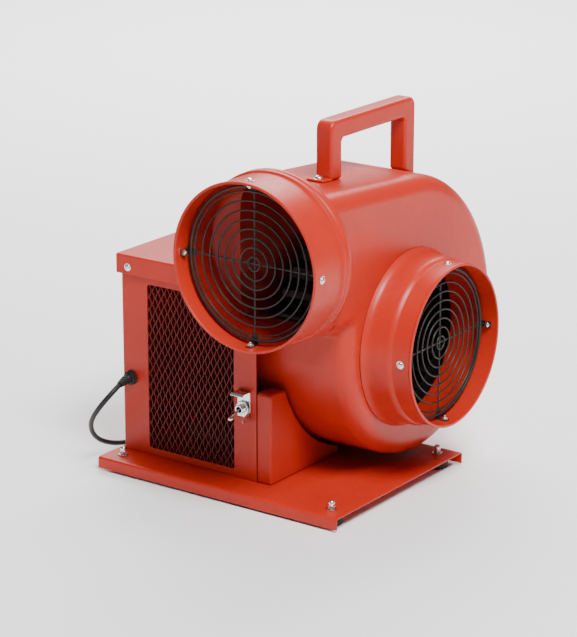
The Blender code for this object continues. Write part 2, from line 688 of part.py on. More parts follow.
def make_rotor(steel, dark) -> None:
    """The turning pieces on the fan axis: shaft, rotor core and fan wheel."""
    centre = (AXIS_Y, AXIS_Z)
    spin = bpy.data.objects.new("fan_axis", None)
    spin.location = (0, AXIS_Y, AXIS_Z)
    bpy.context.scene.collection.objects.link(spin)

    shaft = [(0, -0.1350), (SHAFT_RADIUS, -0.1350), (SHAFT_RADIUS, 0.0460), (0, 0.0460)]
    core = [(0.0079, -0.100), (0.0408, -0.100), (0.0408, -0.050), (0.0079, -0.050)]
    back = WHEEL_BACK
    hub = [
        (0.0079, back - 0.006),
        (0.0200, back - 0.006),
        (0.0200, back),
        (WHEEL_RADIUS, back),
        (WHEEL_RADIUS, back + 0.002),
        (0.0220, back + 0.002),
        (0.0180, back + 0.032),
        (0.0079, back + 0.032),
    ]
    pieces = [
        turned("motor_shaft", shaft, "X", centre, steel, 20),
        turned("rotor_core", core, "X", centre, steel, 32),
    ]
    wheel = turned("fan_wheel", hub, "X", centre, dark, 48)
    front = WHEEL_FRONT
    ring = [
        (WHEEL_EYE, front - 0.002),
        (WHEEL_RADIUS, front - 0.002),
        (WHEEL_RADIUS, front),
        (WHEEL_EYE, front),
    ]
    join(wheel, turned("join_wheel_ring", ring, "X", centre, dark, 48))
    mesh = bmesh.new()
    for blade in range(BLADES):
        start = 2 * math.pi * blade / BLADES
        outline = []
        for side in (0.0, 0.0012):
            stations = range(4) if side == 0.0 else range(3, -1, -1)
            for k in stations:
                share = k / 3
                radius = WHEEL_EYE + 0.001 + (WHEEL_RADIUS - WHEEL_EYE - 0.002) * share
                turn = start + 0.20 * share**1.6 + side / radius
                outline.append(
                    (AXIS_Y + radius * math.cos(turn), AXIS_Z + radius * math.sin(turn))
                )
        rings = []
        for x in (back + 0.001, front - 0.001):
            rings.append([mesh.verts.new((x, y, z)) for y, z in outline])
        mesh.faces.new(rings[0])
        mesh.faces.new(rings[1])
        for k in range(len(outline)):
            n = (k + 1) % len(outline)
            mesh.faces.new((rings[0][k], rings[0][n], rings[1][n], rings[1][k]))
    join(wheel, add("join_wheel_blades", mesh, dark))
    pieces.append(wheel)
    for piece in pieces:
        piece.data.transform(Matrix.Translation(-spin.location))
        piece.parent = spin
    for helper in ("join_wheel_ring", "join_wheel_blades"):
        helper_obj = bpy.data.objects[helper]
        helper_obj.data.transform(Matrix.Translation(-spin.location))
        helper_obj.parent = spin


def make_switch(zinc, black) -> None:
    """The toggle switch: body behind the panel, bushing, nut, guard bracket and bat lever."""
    x, z = SWITCH_X, SWITCH_Z
    panel = BOX_FRONT
    box(
        "switch_body",
        (x - 0.008, panel + SHEET + GAP + 0.0015, z - 0.014),
        (x + 0.008, panel + 0.026, z + 0.014),
        black,
        0.001,
    )
    bushing = [
        (0.0038, panel + SHEET + GAP + 0.0010),
        (0.0058, panel + SHEET + GAP + 0.0010),
        (0.0058, panel - 0.0120),
        (0.0038, panel - 0.0120),
    ]
    turned("switch_bushing", bushing, "Y", (x, z), zinc, 20)
    guard = box(
        "switch_guard",
        (x - 0.0095, panel - 0.0020, z - 0.016),
        (x + 0.0095, panel - GAP, z + 0.022),
        zinc,
    )
    shelf = box(
        "join_guard_shelf",
        (x - 0.0095, panel - 0.0170, z + 0.0200),
        (x + 0.0095, panel - 0.0010, z + 0.022),
        zinc,
    )
    arm = box(
        "join_guard_arm",
        (x + 0.0080, panel - 0.0170, z - 0.016),
        (x + 0.0095, panel - 0.0010, z - 0.004),
        zinc,
    )
    hole = [(0, panel - 0.01), (0.0061, panel - 0.01), (0.0061, panel + 0.01), (0, panel + 0.01)]
    join(guard, shelf, arm)
    cut(guard, turned("cut_guard_hole", hole, "Y", (x, z), zinc, 20))
    nut = [
        (0.0072, panel - 0.0023),
        (0.0098, panel - 0.0023),
        (0.0098, panel - 0.0055),
        (0.0072, panel - 0.0055),
    ]
    turned("switch_nut", nut, "Y", (x, z), zinc, 6)

    pivot = bpy.data.objects.new("lever_axis", None)
    pivot.location = (x, panel - 0.0095, z)
    bpy.context.scene.collection.objects.link(pivot)
    tilt = math.radians(20)
    out = Vector((0, -math.cos(tilt), -math.sin(tilt)))
    shape = ((-0.002, 0.0016), (0.008, 0.0020), (0.018, 0.0032), (0.0215, 0.0030), (0.023, 0.0016))
    lever = swept("switch_lever", [(out * reach, radius) for reach, radius in shape], zinc)
    lever.parent = pivot


def smooth_route(points: tuple, step: float) -> list:
    """Points at even steps along a smooth curve through the given points."""
    points = [np.array(p) for p in points]
    points = [2 * points[0] - points[1], *points, 2 * points[-1] - points[-2]]
    dense = []
    for a, b, c, d in zip(points, points[1:], points[2:], points[3:]):
        for t in np.linspace(0, 1, 24, endpoint=False):
            dense.append(
                0.5
                * (
                    2 * b
                    + (c - a) * t
                    + (2 * a - 5 * b + 4 * c - d) * t**2
                    + (3 * b - 3 * c + d - a) * t**3
                )
            )
    dense = np.array([*dense, points[-2]])
    run = np.concatenate([[0], np.cumsum(np.linalg.norm(np.diff(dense, axis=0), axis=1))])
    count = max(2, round(run[-1] / step))
    wanted = np.linspace(0, run[-1], count + 1)
    return [tuple(np.interp(w, run, dense[:, k]) for k in range(3)) for w in wanted]


def make_cord(black, brass) -> None:
    """The gland, its tapered strain relief, the cord, the coil of its spare length and the plug."""
    panel = BOX_FRONT
    nut = [(0.0048, panel + 0.0050), (0.0062, panel + 0.0050), (0.0062, panel - GAP)]
    nut += [(0.0095, panel - GAP), (0.0095, panel - 0.0060), (0.0080, panel - 0.0070)]
    nut += [(0.0048, panel - 0.0070)]
    turned("cable_gland", nut, "Y", (GLAND_X, GLAND_Z), black, 24)
    relief = [
        ((GLAND_X, panel + 0.0045, GLAND_Z), 0.0045),
        ((GLAND_X, panel - 0.0073, GLAND_Z), 0.0045),
        ((GLAND_X, panel - 0.0074, GLAND_Z), 0.0068),
        ((GLAND_X, panel - 0.0110, GLAND_Z - 0.0001), 0.0064),
        ((GLAND_X - 0.0002, panel - 0.0175, GLAND_Z - 0.0015), 0.0050),
        ((GLAND_X - 0.0006, panel - 0.0235, GLAND_Z - 0.0038), 0.0040),
    ]
    swept("strain_relief", relief, black, 20)

    curve = bpy.data.curves.new("supply_cord", "CURVE")
    curve.dimensions = "3D"
    curve.bevel_depth = CORD_RADIUS
    curve.bevel_resolution = 2
    curve.use_fill_caps = True
    spline = curve.splines.new("POLY")
    route = smooth_route(CORD_ROUTE, CORD_STEP)
    spline.points.add(len(route) - 1)
    for point, at in zip(spline.points, route):
        point.co = (*at, 1.0)
    curve.materials.append(black)
    cord = bpy.data.objects.new("supply_cord", curve)
    bpy.context.scene.collection.objects.link(cord)

    inner, outer = COIL_RADIUS - COIL_WIDE / 2, COIL_RADIUS + COIL_WIDE / 2
    soft = 0.004
    ring = [
        (inner, GAP + soft),
        (inner + soft, GAP),
        (outer - soft, GAP),
        (outer, GAP + soft),
        (outer, COIL_HIGH - soft),
        (outer - soft, COIL_HIGH),
        (inner + soft, COIL_HIGH),
        (inner, COIL_HIGH - soft),
    ]
    turned("cord_coil", ring, "Z", (COIL_X, COIL_Y), black, 28)

    low = (PLUG_X - 0.022, PLUG_Y - 0.012, GAP)
    high = (PLUG_X + 0.016, PLUG_Y + 0.012, 0.024)
    body = box("plug", low, high, black, 0.004)
    for k, (y, z, r) in enumerate(((-0.0063, 0.015, 0), (0.0063, 0.015, 0), (0.0, 0.0065, 0.0024))):
        start = Vector((PLUG_X + 0.012, PLUG_Y + y, z))
        end = Vector((PLUG_X + 0.034, PLUG_Y + y, z))
        if r:
            join(body, rod(f"join_plug_pin_{k}", start, end, r, brass, 12))
            continue
        half = Vector((0, 0.0008, 0.0031))
        join(body, box(f"join_plug_pin_{k}", tuple(start - half), tuple(end + half), brass))


def main() -> None:
    """Build the blower."""
    clear_scene()
    paint = finish("orange_enamel", (0.60, 0.065, 0.02), 0.35, 0.0)
    rubber = finish("black_rubber", (0.012, 0.012, 0.013), 0.75, 0.0)
    zinc = finish("zinc_plate", (0.62, 0.63, 0.62), 0.30, 1.0)
    steel = finish("bright_steel", (0.55, 0.56, 0.57), 0.35, 1.0)
    dark = finish("black_oxide", (0.02, 0.02, 0.021), 0.50, 0.2)
    grey = finish("grey_enamel", (0.16, 0.17, 0.18), 0.45, 0.0)
    black = finish("black_plastic", (0.015, 0.015, 0.016), 0.45, 0.0)
    brass = finish("plug_brass", (0.65, 0.48, 0.22), 0.30, 1.0)
    make_base(paint, rubber, zinc)
    make_motor_box(paint, zinc)
    make_front_grille(paint)
    make_cradle(paint)
    make_scroll(paint)
    make_collars(paint, zinc)
    make_adapter(paint)
    axis = (AXIS_Y, AXIS_Z)
    make_guard("inlet_guard", "X", axis, INLET_RIM - GUARD_INSET, -1, dark)
    outlet = (OUTLET_X, OUTLET_Z)
    make_guard("outlet_guard", "Y", outlet, OUTLET_RIM + GUARD_INSET, 1, dark)
    make_handle(paint, zinc)
    make_motor(grey, steel, dark)
    make_rotor(steel, dark)
    make_switch(zinc, black)
    make_cord(black, brass)


main()
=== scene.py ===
"""The finished look of a portable centrifugal blower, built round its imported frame.

Each sub-assembly of the machine is a class below. Its sizes are fields in metres, its places come
from the frame's own boxes, and its build method makes the pieces and dresses them.
"""

import json
import logging
import math
from dataclasses import dataclass, field
from enum import Enum
from typing import Callable, Iterable, Sequence

import bmesh
import bpy
import numpy as np
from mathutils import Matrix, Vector


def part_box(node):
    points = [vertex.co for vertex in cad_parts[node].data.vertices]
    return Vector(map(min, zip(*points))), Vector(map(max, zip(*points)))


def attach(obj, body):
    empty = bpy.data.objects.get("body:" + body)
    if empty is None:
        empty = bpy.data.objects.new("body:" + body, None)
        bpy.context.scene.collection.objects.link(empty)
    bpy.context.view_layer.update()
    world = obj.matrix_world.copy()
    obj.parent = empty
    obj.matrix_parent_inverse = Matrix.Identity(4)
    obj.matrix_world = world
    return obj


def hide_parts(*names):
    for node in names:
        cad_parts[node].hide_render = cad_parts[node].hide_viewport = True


LOG = logging.getLogger("blower")
FRAME_BODY, ROTOR_BODY, TOGGLE_BODY = "frame", "rotor", "toggle"

Point = Sequence[float]
Faces = list[tuple[int, ...]]

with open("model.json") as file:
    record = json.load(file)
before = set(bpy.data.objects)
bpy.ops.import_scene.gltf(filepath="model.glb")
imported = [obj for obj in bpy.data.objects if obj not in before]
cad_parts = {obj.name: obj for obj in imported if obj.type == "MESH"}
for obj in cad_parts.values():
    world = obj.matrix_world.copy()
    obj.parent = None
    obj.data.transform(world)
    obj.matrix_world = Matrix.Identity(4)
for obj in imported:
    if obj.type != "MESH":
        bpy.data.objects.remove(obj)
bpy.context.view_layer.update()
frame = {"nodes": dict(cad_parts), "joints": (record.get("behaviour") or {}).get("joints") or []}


class Axis(Enum):
    """A direction that a turned or extended piece runs along."""

    X = 0
    Y = 1
    Z = 2

    def point(self, along: float, u: float, v: float) -> tuple[float, float, float]:
        """Return the place at a distance along the axis with these two other coordinates."""
        others = [u, v]
        others.insert(self.value, along)
        return tuple(others)


class Facing(Enum):
    """How a copied piece is turned towards its facing vector."""

    FREE = "AUTO"
    ROUND_X = "X"


@dataclass(frozen=True)
class Finish:
    """A surface with its colour, gloss and small relief, as one procedural material."""

    name: str
    slot: str
    colour: tuple[float, float, float]
    roughness: float
    metallic: float = 0.0
    coat: float = 0.0
    specular: float = 0.30
    mottle: float = 0.08
    mottle_scale: float = 14.0
    relief: float = 0.05
    relief_scale: float = 420.0
    rough_swing: float = 0.08
    stretch: tuple[float, float, float] = (1.0, 1.0, 1.0)
    grime: float = 0.0
    grime_colour: tuple[float, float, float] = (0.06, 0.02, 0.015)

    def material(self) -> bpy.types.Material:
        """Return the material, built on first use.

        Returns:
            A node material that reads Object coordinates only.
        """
        found = bpy.data.materials.get(f"{self.name}_finish")
        return found or self._build()

    def _build(self) -> bpy.types.Material:
        """Return a new material: mottled colour, uneven gloss and fine relief."""
        made = bpy.data.materials.new(f"{self.name}_finish")
        made.use_nodes = True
        tree = made.node_tree
        shader = tree.nodes["Principled BSDF"]
        shader.inputs["Metallic"].default_value = self.metallic
        shader.inputs["Coat Weight"].default_value = self.coat
        shader.inputs["Coat Roughness"].default_value = 0.22
        shader.inputs["Specular IOR Level"].default_value = self.specular
        place = tree.nodes.new("ShaderNodeTexCoord")
        turn = tree.nodes.new("ShaderNodeMapping")
        turn.inputs["Scale"].default_value = self.stretch
        tree.links.new(place.outputs["Object"], turn.inputs["Vector"])

        def noise(scale: float, detail: float) -> bpy.types.Node:
            node = tree.nodes.new("ShaderNodeTexNoise")
            node.inputs["Scale"].default_value = scale
            node.inputs["Detail"].default_value = detail
            tree.links.new(turn.outputs["Vector"], node.inputs["Vector"])
            return node

        broad, middle, fine = noise(self.mottle_scale, 4.0), noise(90.0, 5.0), noise(self.relief_scale, 3.0)
        ramp = tree.nodes.new("ShaderNodeValToRGB")
        ramp.color_ramp.elements[0].position = 0.30
        ramp.color_ramp.elements[1].position = 0.70
        for element, share in zip(ramp.color_ramp.elements, (1.0 - self.mottle, 1.0 + self.mottle)):
            element.color = (*[min(1.0, channel * share) for channel in self.colour], 1.0)
        tree.links.new(broad.outputs["Fac"], ramp.inputs["Fac"])
        colour = ramp.outputs["Color"]
        if self.grime:
            colour = self._add_grime(tree, middle, colour)
        tree.links.new(colour, shader.inputs["Base Color"])
        gloss = tree.nodes.new("ShaderNodeMapRange")
        gloss.inputs["From Min"].default_value = 0.35
        gloss.inputs["From Max"].default_value = 0.65
        gloss.inputs["To Min"].default_value = self.roughness - self.rough_swing / 2
        gloss.inputs["To Max"].default_value = self.roughness + self.rough_swing / 2
        tree.links.new(middle.outputs["Fac"], gloss.inputs["Value"])
        tree.links.new(gloss.outputs["Result"], shader.inputs["Roughness"])
        bump = tree.nodes.new("ShaderNodeBump")
        bump.inputs["Strength"].default_value = self.relief
        bump.inputs["Distance"].default_value = 0.0004
        tree.links.new(fine.outputs["Fac"], bump.inputs["Height"])
        tree.links.new(bump.outputs["Normal"], shader.inputs["Normal"])
        return made

    def _add_grime(self, tree: bpy.types.NodeTree, noise: bpy.types.Node, colour: bpy.types.NodeSocket):
        """Return the colour with thin dirt in scattered patches.

        Args:
            tree: The material's node tree.
            noise: The noise that places the patches.
            colour: The clean colour.

        Returns:
            The socket of the dirtied colour.
        """
        patch = tree.nodes.new("ShaderNodeMapRange")
        patch.inputs["From Min"].default_value = 0.56
        patch.inputs["From Max"].default_value = 0.78
        patch.inputs["To Max"].default_value = self.grime
        tree.links.new(noise.outputs["Fac"], patch.inputs["Value"])
        mix = tree.nodes.new("ShaderNodeMix")
        mix.data_type = "RGBA"
        sockets = {socket.identifier: socket for socket in mix.inputs}
        tree.links.new(patch.outputs["Result"], sockets["Factor_Float"])
        tree.links.new(colour, sockets["A_Color"])
        sockets["B_Color"].default_value = (*self.grime_colour, 1.0)
        return next(socket for socket in mix.outputs if socket.identifier == "Result_Color")


ENAMEL = Finish(
    "orange_enamel", "orange_enamel", (0.44, 0.020, 0.008), 0.38, mottle=0.06, grime=0.10
)
# A much darker copy of the orange enamel for the bulkhead inside the box: its dark colour is painted shade,
# not a different paint.
INSIDE_ENAMEL_PAINTED_SHADE = Finish(
    "inside_enamel", "orange_enamel", (0.13, 0.006, 0.003), 0.60, mottle=0.14, relief=0.10, grime=0.30
)
# A much darker copy of the orange enamel for the expanded-metal grille: its dark colour is painted shade on
# the grille's strands, not a different paint.
MESH_ENAMEL_PAINTED_SHADE = Finish("mesh_enamel", "orange_enamel", (0.13, 0.005, 0.003), 0.50, mottle=0.16, grime=0.20)
RUBBER = Finish("foot_rubber", "black_rubber", (0.014, 0.014, 0.015), 0.72, relief=0.25, relief_scale=900.0)
ZINC = Finish(
    "zinc_plate", "zinc_plate", (0.78, 0.79, 0.78), 0.24, 1.0, mottle=0.12, mottle_scale=160.0, grime=0.12
)
STEEL = Finish(
    "turned_steel", "bright_steel", (0.52, 0.53, 0.54), 0.32, 1.0, relief=0.15, stretch=(1.0, 6.0, 6.0)
)
GUARD_WIRE = Finish("guard_wire", "black_oxide", (0.030, 0.026, 0.024), 0.38, 0.25, mottle=0.30, relief=0.12)
WHEEL_BLACK = Finish("wheel_black", "black_oxide", (0.014, 0.015, 0.017), 0.34, 0.10, relief=0.20, coat=0.15)
CORE = Finish(
    "core_sheets", "motor_core", (0.09, 0.075, 0.060), 0.55, 0.6, stretch=(40.0, 1.0, 1.0), relief=0.3
)
GREY = Finish("grey_enamel", "grey_enamel", (0.055, 0.060, 0.066), 0.42, relief=0.18, mottle=0.14, grime=0.35)
PLASTIC = Finish(
    "black_plastic", "black_plastic", (0.016, 0.016, 0.017), 0.40, relief=0.20, relief_scale=1100.0
)
SHEATH = Finish("cord_sheath", "cord_sheath", (0.018, 0.018, 0.019), 0.36, relief=0.08, mottle=0.20)
BRASS = Finish("pin_brass", "black_plastic", (0.62, 0.42, 0.16), 0.28, 1.0, mottle=0.10)
"""Every finish that the blower wears."""


@dataclass
class Shape:
    """Vertices and faces that add up to one mesh."""

    verts: list[Vector] = field(default_factory=list)
    faces: Faces = field(default_factory=list)

    def add(self, verts: Iterable[Point], faces: Iterable[Sequence[int]]) -> "Shape":
        """Take in more vertices, and faces that count from the first of them.

        Args:
            verts: The new vertices.
            faces: The new faces, as indices into verts.

        Returns:
            This shape.
        """
        start = len(self.verts)
        self.verts += [Vector(v) for v in verts]
        self.faces += [tuple(start + k for k in face) for face in faces]
        return self

    def loft(self, loops: Sequence[Sequence[Point]], closed: bool = False, caps: bool = True) -> "Shape":
        """Take in a skin over a row of loops that have equally many points.

        Args:
            loops: Closed loops of points, in order.
            closed: Whether the last loop joins the first, as on a ring.
            caps: Whether the two ends are faced over, when not closed.

        Returns:
            This shape.
        """
        size = len(loops[0])
        faces: Faces = []
        last = len(loops) if closed else len(loops) - 1
        for row in range(last):
            a, b = row * size, (row + 1) % len(loops) * size
            for k in range(size):
                n = (k + 1) % size
                faces.append((a + k, a + n, b + n, b + k))
        if caps and not closed:
            faces += [tuple(range(size)), tuple(range((len(loops) - 1) * size, len(loops) * size))]
        return self.add([p for loop in loops for p in loop], faces)

    def turn(self, profile: Sequence[Point], axis: Axis, centre: Point, segments: int = 48) -> "Shape":
        """Take in a profile turned about an axis.

        Args:
            profile: Points of (radius, distance along the axis). A profile that starts and ends on
                the axis makes a solid, and one that never meets it makes a ring.
            axis: The direction of the axis.
            centre: The axis's other two coordinates.
            segments: How many sides the turning has.

        Returns:
            This shape.
        """
        ring = all(radius > 0 for radius, _ in profile)
        loops = []
        for radius, along in profile:
            radius = max(radius, 1e-5)
            turns = [2 * math.pi * k / segments for k in range(segments)]
            loops.append(
                [
                    axis.point(along, centre[0] + radius * math.cos(t), centre[1] + radius * math.sin(t))
                    for t in turns
                ]
            )
        return self.loft(loops, closed=ring)

    def rod(
        self, radius: float, span: Sequence[float], axis: Axis, centre: Point, segments: int = 32
    ) -> "Shape":
        """Take in a plain cylinder.

        Args:
            radius: The cylinder's radius.
            span: Where it starts and where it ends along the axis.
            axis: The direction of the axis.
            centre: The axis's other two coordinates.
            segments: How many sides it has.

        Returns:
            This shape.
        """
        start, end = span
        return self.turn([(0, start), (radius, start), (radius, end), (0, end)], axis, centre, segments)

    def sweep(self, path: Sequence[Point], radii: Sequence[float] | float, sides: int = 12) -> "Shape":
        """Take in a round bar along a path.

        Args:
            path: The bar's centre line.
            radii: The bar's radius, one value or one for each point of the path.
            sides: How many sides the bar has.

        Returns:
            This shape.
        """
        points = [Vector(p) for p in path]
        if isinstance(radii, float):
            radii = [radii] * len(points)
        side = (points[1] - points[0]).orthogonal().normalized()
        loops = []
        for k, (centre, radius) in enumerate(zip(points, radii)):
            along = points[min(k + 1, len(points) - 1)] - points[max(k - 1, 0)]
            along.normalize()
            side = (side - along * side.dot(along)).normalized()
            other = along.cross(side)
            turns = [2 * math.pi * n / sides for n in range(sides)]
            loops.append([centre + radius * (side * math.cos(t) + other * math.sin(t)) for t in turns])
        return self.loft(loops)

    def extend(self, outline: Sequence[Point], axis: Axis, start: float, end: float) -> "Shape":
        """Take in a flat outline drawn out along an axis.

        Args:
            outline: The outline's points, as the axis's other two coordinates.
            axis: The direction it is drawn out in.
            start: Where it starts along the axis.
            end: Where it ends along the axis.

        Returns:
            This shape.
        """
        return self.loft([[axis.point(at, u, v) for u, v in outline] for at in (start, end)])

    def block(self, low: Point, high: Point) -> "Shape":
        """Take in a block between two corners and return this shape."""
        outline = [(low[0], low[1]), (high[0], low[1]), (high[0], high[1]), (low[0], high[1])]
        return self.extend(outline, Axis.Z, low[2], high[2])


def make_object(name: str, shape: Shape) -> bpy.types.Object:
    """Make a mesh object with merged points and outward faces.

    Args:
        name: The object's name.
        shape: Its vertices and faces.

    Returns:
        The object, at the origin.
    """
    mesh = bpy.data.meshes.new(name)
    mesh.from_pydata([tuple(v) for v in shape.verts], [], shape.faces)
    work = bmesh.new()
    work.from_mesh(mesh)
    bmesh.ops.remove_doubles(work, verts=work.verts, dist=1e-6)
    bmesh.ops.recalc_face_normals(work, faces=work.faces)
    work.to_mesh(mesh)
    work.free()
    made = bpy.data.objects.new(name, mesh)
    bpy.context.scene.collection.objects.link(made)
    return made


def freeze(piece: bpy.types.Object) -> None:
    """Turn a piece's modifiers into plain mesh."""
    evaluated = piece.evaluated_get(bpy.context.evaluated_depsgraph_get())
    mesh = bpy.data.meshes.new_from_object(evaluated)
    piece.modifiers.clear()
    piece.data = mesh


def carve(piece: bpy.types.Object, cutters: Sequence[Shape]) -> None:
    """Cut shapes out of a piece, for good.

    Args:
        piece: The piece to cut.
        cutters: The shapes to take away.
    """
    helpers = [make_object(f"{piece.name}_cutter", cutter) for cutter in cutters]
    for helper in helpers:
        modifier = piece.modifiers.new("cut", "BOOLEAN")
        modifier.operation = "DIFFERENCE"
        modifier.solver = "EXACT"
        modifier.object = helper
    bpy.context.view_layer.update()
    freeze(piece)
    for helper in helpers:
        bpy.data.objects.remove(helper, do_unlink=True)


def soften(piece: bpy.types.Object, width: float, segments: int = 2, angle: float = 40.0) -> None:
    """Round a piece's edges, for good.

    Args:
        piece: The piece to round.
        width: The width of the rounding.
        segments: How many faces it has across.
        angle: The least angle, in degrees, of an edge that is rounded.
    """
    modifier = piece.modifiers.new("round", "BEVEL")
    modifier.width = width
    modifier.segments = segments
    modifier.limit_method = "ANGLE"
    modifier.angle_limit = math.radians(angle)
    modifier.use_clamp_overlap = True
    bpy.context.view_layer.update()
    freeze(piece)


def dress(
    piece: bpy.types.Object,
    finish: Finish,
    body: str = FRAME_BODY,
    stands_for: Sequence[str] = (),
    sharp: float = 35.0,
) -> bpy.types.Object:
    """Give a piece its finish, its shading, its body and the nodes that it stands for.

    Args:
        piece: The piece.
        finish: The finish that it wears.
        body: The frame body that it rides on.
        stands_for: The frame nodes that it replaces.
        sharp: The least angle, in degrees, of an edge that is shaded sharp.

    Returns:
        The piece.
    """
    piece.data.materials.clear()
    piece.data.materials.append(finish.material())
    piece.data.shade_smooth()
    piece.data.set_sharp_from_angle(angle=math.radians(sharp))
    flattening = piece.modifiers.new("flat_faces", "WEIGHTED_NORMAL")
    flattening.keep_sharp = True
    flattening.weight = 100
    bpy.context.view_layer.update()
    freeze(piece)
    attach(piece, body)
    if stands_for:
        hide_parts(*stands_for)
    LOG.info("%s: %d faces on %s", piece.name, len(piece.data.polygons), body)
    return piece


def dress_node(finish: Finish, *nodes: str) -> None:
    """Give frame nodes whose shape stays a finish.

    Args:
        finish: The finish that they wear.
        nodes: The nodes' names.
    """
    for name in nodes:
        node = frame["nodes"][name]
        node.data.materials.clear()
        node.data.materials.append(finish.material())
        LOG.info("%s keeps its frame mesh", name)


def middle(node: str) -> Vector:
    """Return the middle of a frame node's box."""
    low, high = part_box(node)
    return (low + high) / 2


def arc(centre: Point, radius: float, start: float, end: float, steps: int) -> list[tuple[float, float]]:
    """Return the points of an arc in a plane.

    Args:
        centre: The arc's centre.
        radius: Its radius.
        start: The angle of its first point, in degrees.
        end: The angle of its last point, in degrees.
        steps: How many steps it takes.

    Returns:
        Its points, with both ends.
    """
    turns = [math.radians(start + (end - start) * k / steps) for k in range(steps + 1)]
    return [(centre[0] + radius * math.cos(t), centre[1] + radius * math.sin(t)) for t in turns]


def rounded(corners: Sequence[Point], radius: float, steps: int = 5) -> list[tuple[float, float]]:
    """Return an open line through corners, with each inner corner bent to a radius.

    Args:
        corners: The line's corners, both ends included.
        radius: The bend radius.
        steps: How many steps each bend takes.

    Returns:
        The points of the line.
    """
    points = [Vector(c) for c in corners]
    line = [tuple(points[0])]
    for a, b, c in zip(points, points[1:], points[2:]):
        to_a, to_c = (a - b).normalized(), (c - b).normalized()
        half = math.acos(max(-1.0, min(1.0, to_a.dot(to_c)))) / 2
        reach = radius / math.tan(half)
        centre = b + (to_a + to_c).normalized() * radius / math.sin(half)
        start, end = b + to_a * reach - centre, b + to_c * reach - centre
        first = math.atan2(start.y, start.x)
        turn = (math.atan2(end.y, end.x) - first + math.pi) % (2 * math.pi) - math.pi
        for k in range(steps + 1):
            angle = first + turn * k / steps
            line.append((centre.x + radius * math.cos(angle), centre.y + radius * math.sin(angle)))
    line.append(tuple(points[-1]))
    return line


def folded(corners: Sequence[Point], thickness: float, radius: float) -> list[tuple[float, float]]:
    """Return the section of a folded sheet, from its outer line.

    Args:
        corners: The corners of its outer line, which bends to the right or left.
        thickness: The sheet's thickness. The sheet lies on the left of the line.
        radius: The outer bend radius.

    Returns:
        The closed outline of the section.
    """
    outer = [Vector(p) for p in rounded(corners, radius)]
    inner = []
    for k, point in enumerate(outer):
        along = outer[min(k + 1, len(outer) - 1)] - outer[max(k - 1, 0)]
        side = Vector((-along.y, along.x)).normalized()
        inner.append(point + side * thickness)
    return [tuple(p) for p in outer] + [tuple(p) for p in reversed(inner)]


class NodeTree:
    """A Geometry Nodes tree under construction, with named inputs for its sizes."""

    SOCKETS = {
        float: "NodeSocketFloat",
        int: "NodeSocketInt",
        bpy.types.Material: "NodeSocketMaterial",
        bpy.types.Object: "NodeSocketObject",
    }

    def __init__(self, name: str, **inputs: float | int | bpy.types.Material | bpy.types.Object) -> None:
        """Start a tree.

        Args:
            name: The tree's name.
            inputs: The named inputs and their values.
        """
        self.group = bpy.data.node_groups.new(name, "GeometryNodeTree")
        face = self.group.interface
        face.new_socket("Geometry", in_out="INPUT", socket_type="NodeSocketGeometry")
        face.new_socket("Geometry", in_out="OUTPUT", socket_type="NodeSocketGeometry")
        self.values = inputs
        self.identifiers = {}
        for key, value in inputs.items():
            kind = next(name for sort, name in self.SOCKETS.items() if isinstance(value, sort))
            self.identifiers[key] = face.new_socket(key, in_out="INPUT", socket_type=kind).identifier
        self.entry = self.group.nodes.new("NodeGroupInput")
        self.exit = self.group.nodes.new("NodeGroupOutput")

    def add(self, kind: str, links: dict | None = None, **settings: object) -> bpy.types.Node:
        """Add a node.

        Args:
            kind: The node's type.
            links: For each input socket, by name or index, a constant, the name of a tree input,
                or the socket that feeds it.
            settings: The node's own properties.

        Returns:
            The node.
        """
        node = self.group.nodes.new(kind)
        for key, value in settings.items():
            setattr(node, key, value)
        for key, value in (links or {}).items():
            if isinstance(value, bpy.types.NodeSocket):
                self.group.links.new(value, node.inputs[key])
            elif isinstance(value, str) and value in self.values:
                self.group.links.new(self.entry.outputs[value], node.inputs[key])
            else:
                node.inputs[key].default_value = value
        return node

    def maths(self, operation: str, *values: object) -> bpy.types.NodeSocket:
        """Add a Math node on these values and return its result."""
        return self.add("ShaderNodeMath", dict(enumerate(values)), operation=operation).outputs[0]

    def bake(self, name: str, last: bpy.types.NodeSocket, points: Shape | None = None) -> bpy.types.Object:
        """End the tree in Realize Instances and Set Material, and turn its result into plain mesh.

        Args:
            name: The name of the object to make.
            last: The socket that carries the finished geometry.
            points: Vertices that the tree starts from, if it needs them.

        Returns:
            A mesh object at the origin, without modifiers.
        """
        real = self.add("GeometryNodeRealizeInstances", {"Geometry": last})
        worn = self.add("GeometryNodeSetMaterial", {"Geometry": real.outputs[0], "Material": "Finish"})
        self.group.links.new(worn.outputs[0], self.exit.inputs[0])
        made = make_object(name, points or Shape())
        modifier = made.modifiers.new("grow", "NODES")
        modifier.node_group = self.group
        for key, value in self.values.items():
            modifier[self.identifiers[key]] = value
        bpy.context.view_layer.update()
        freeze(made)
        return made


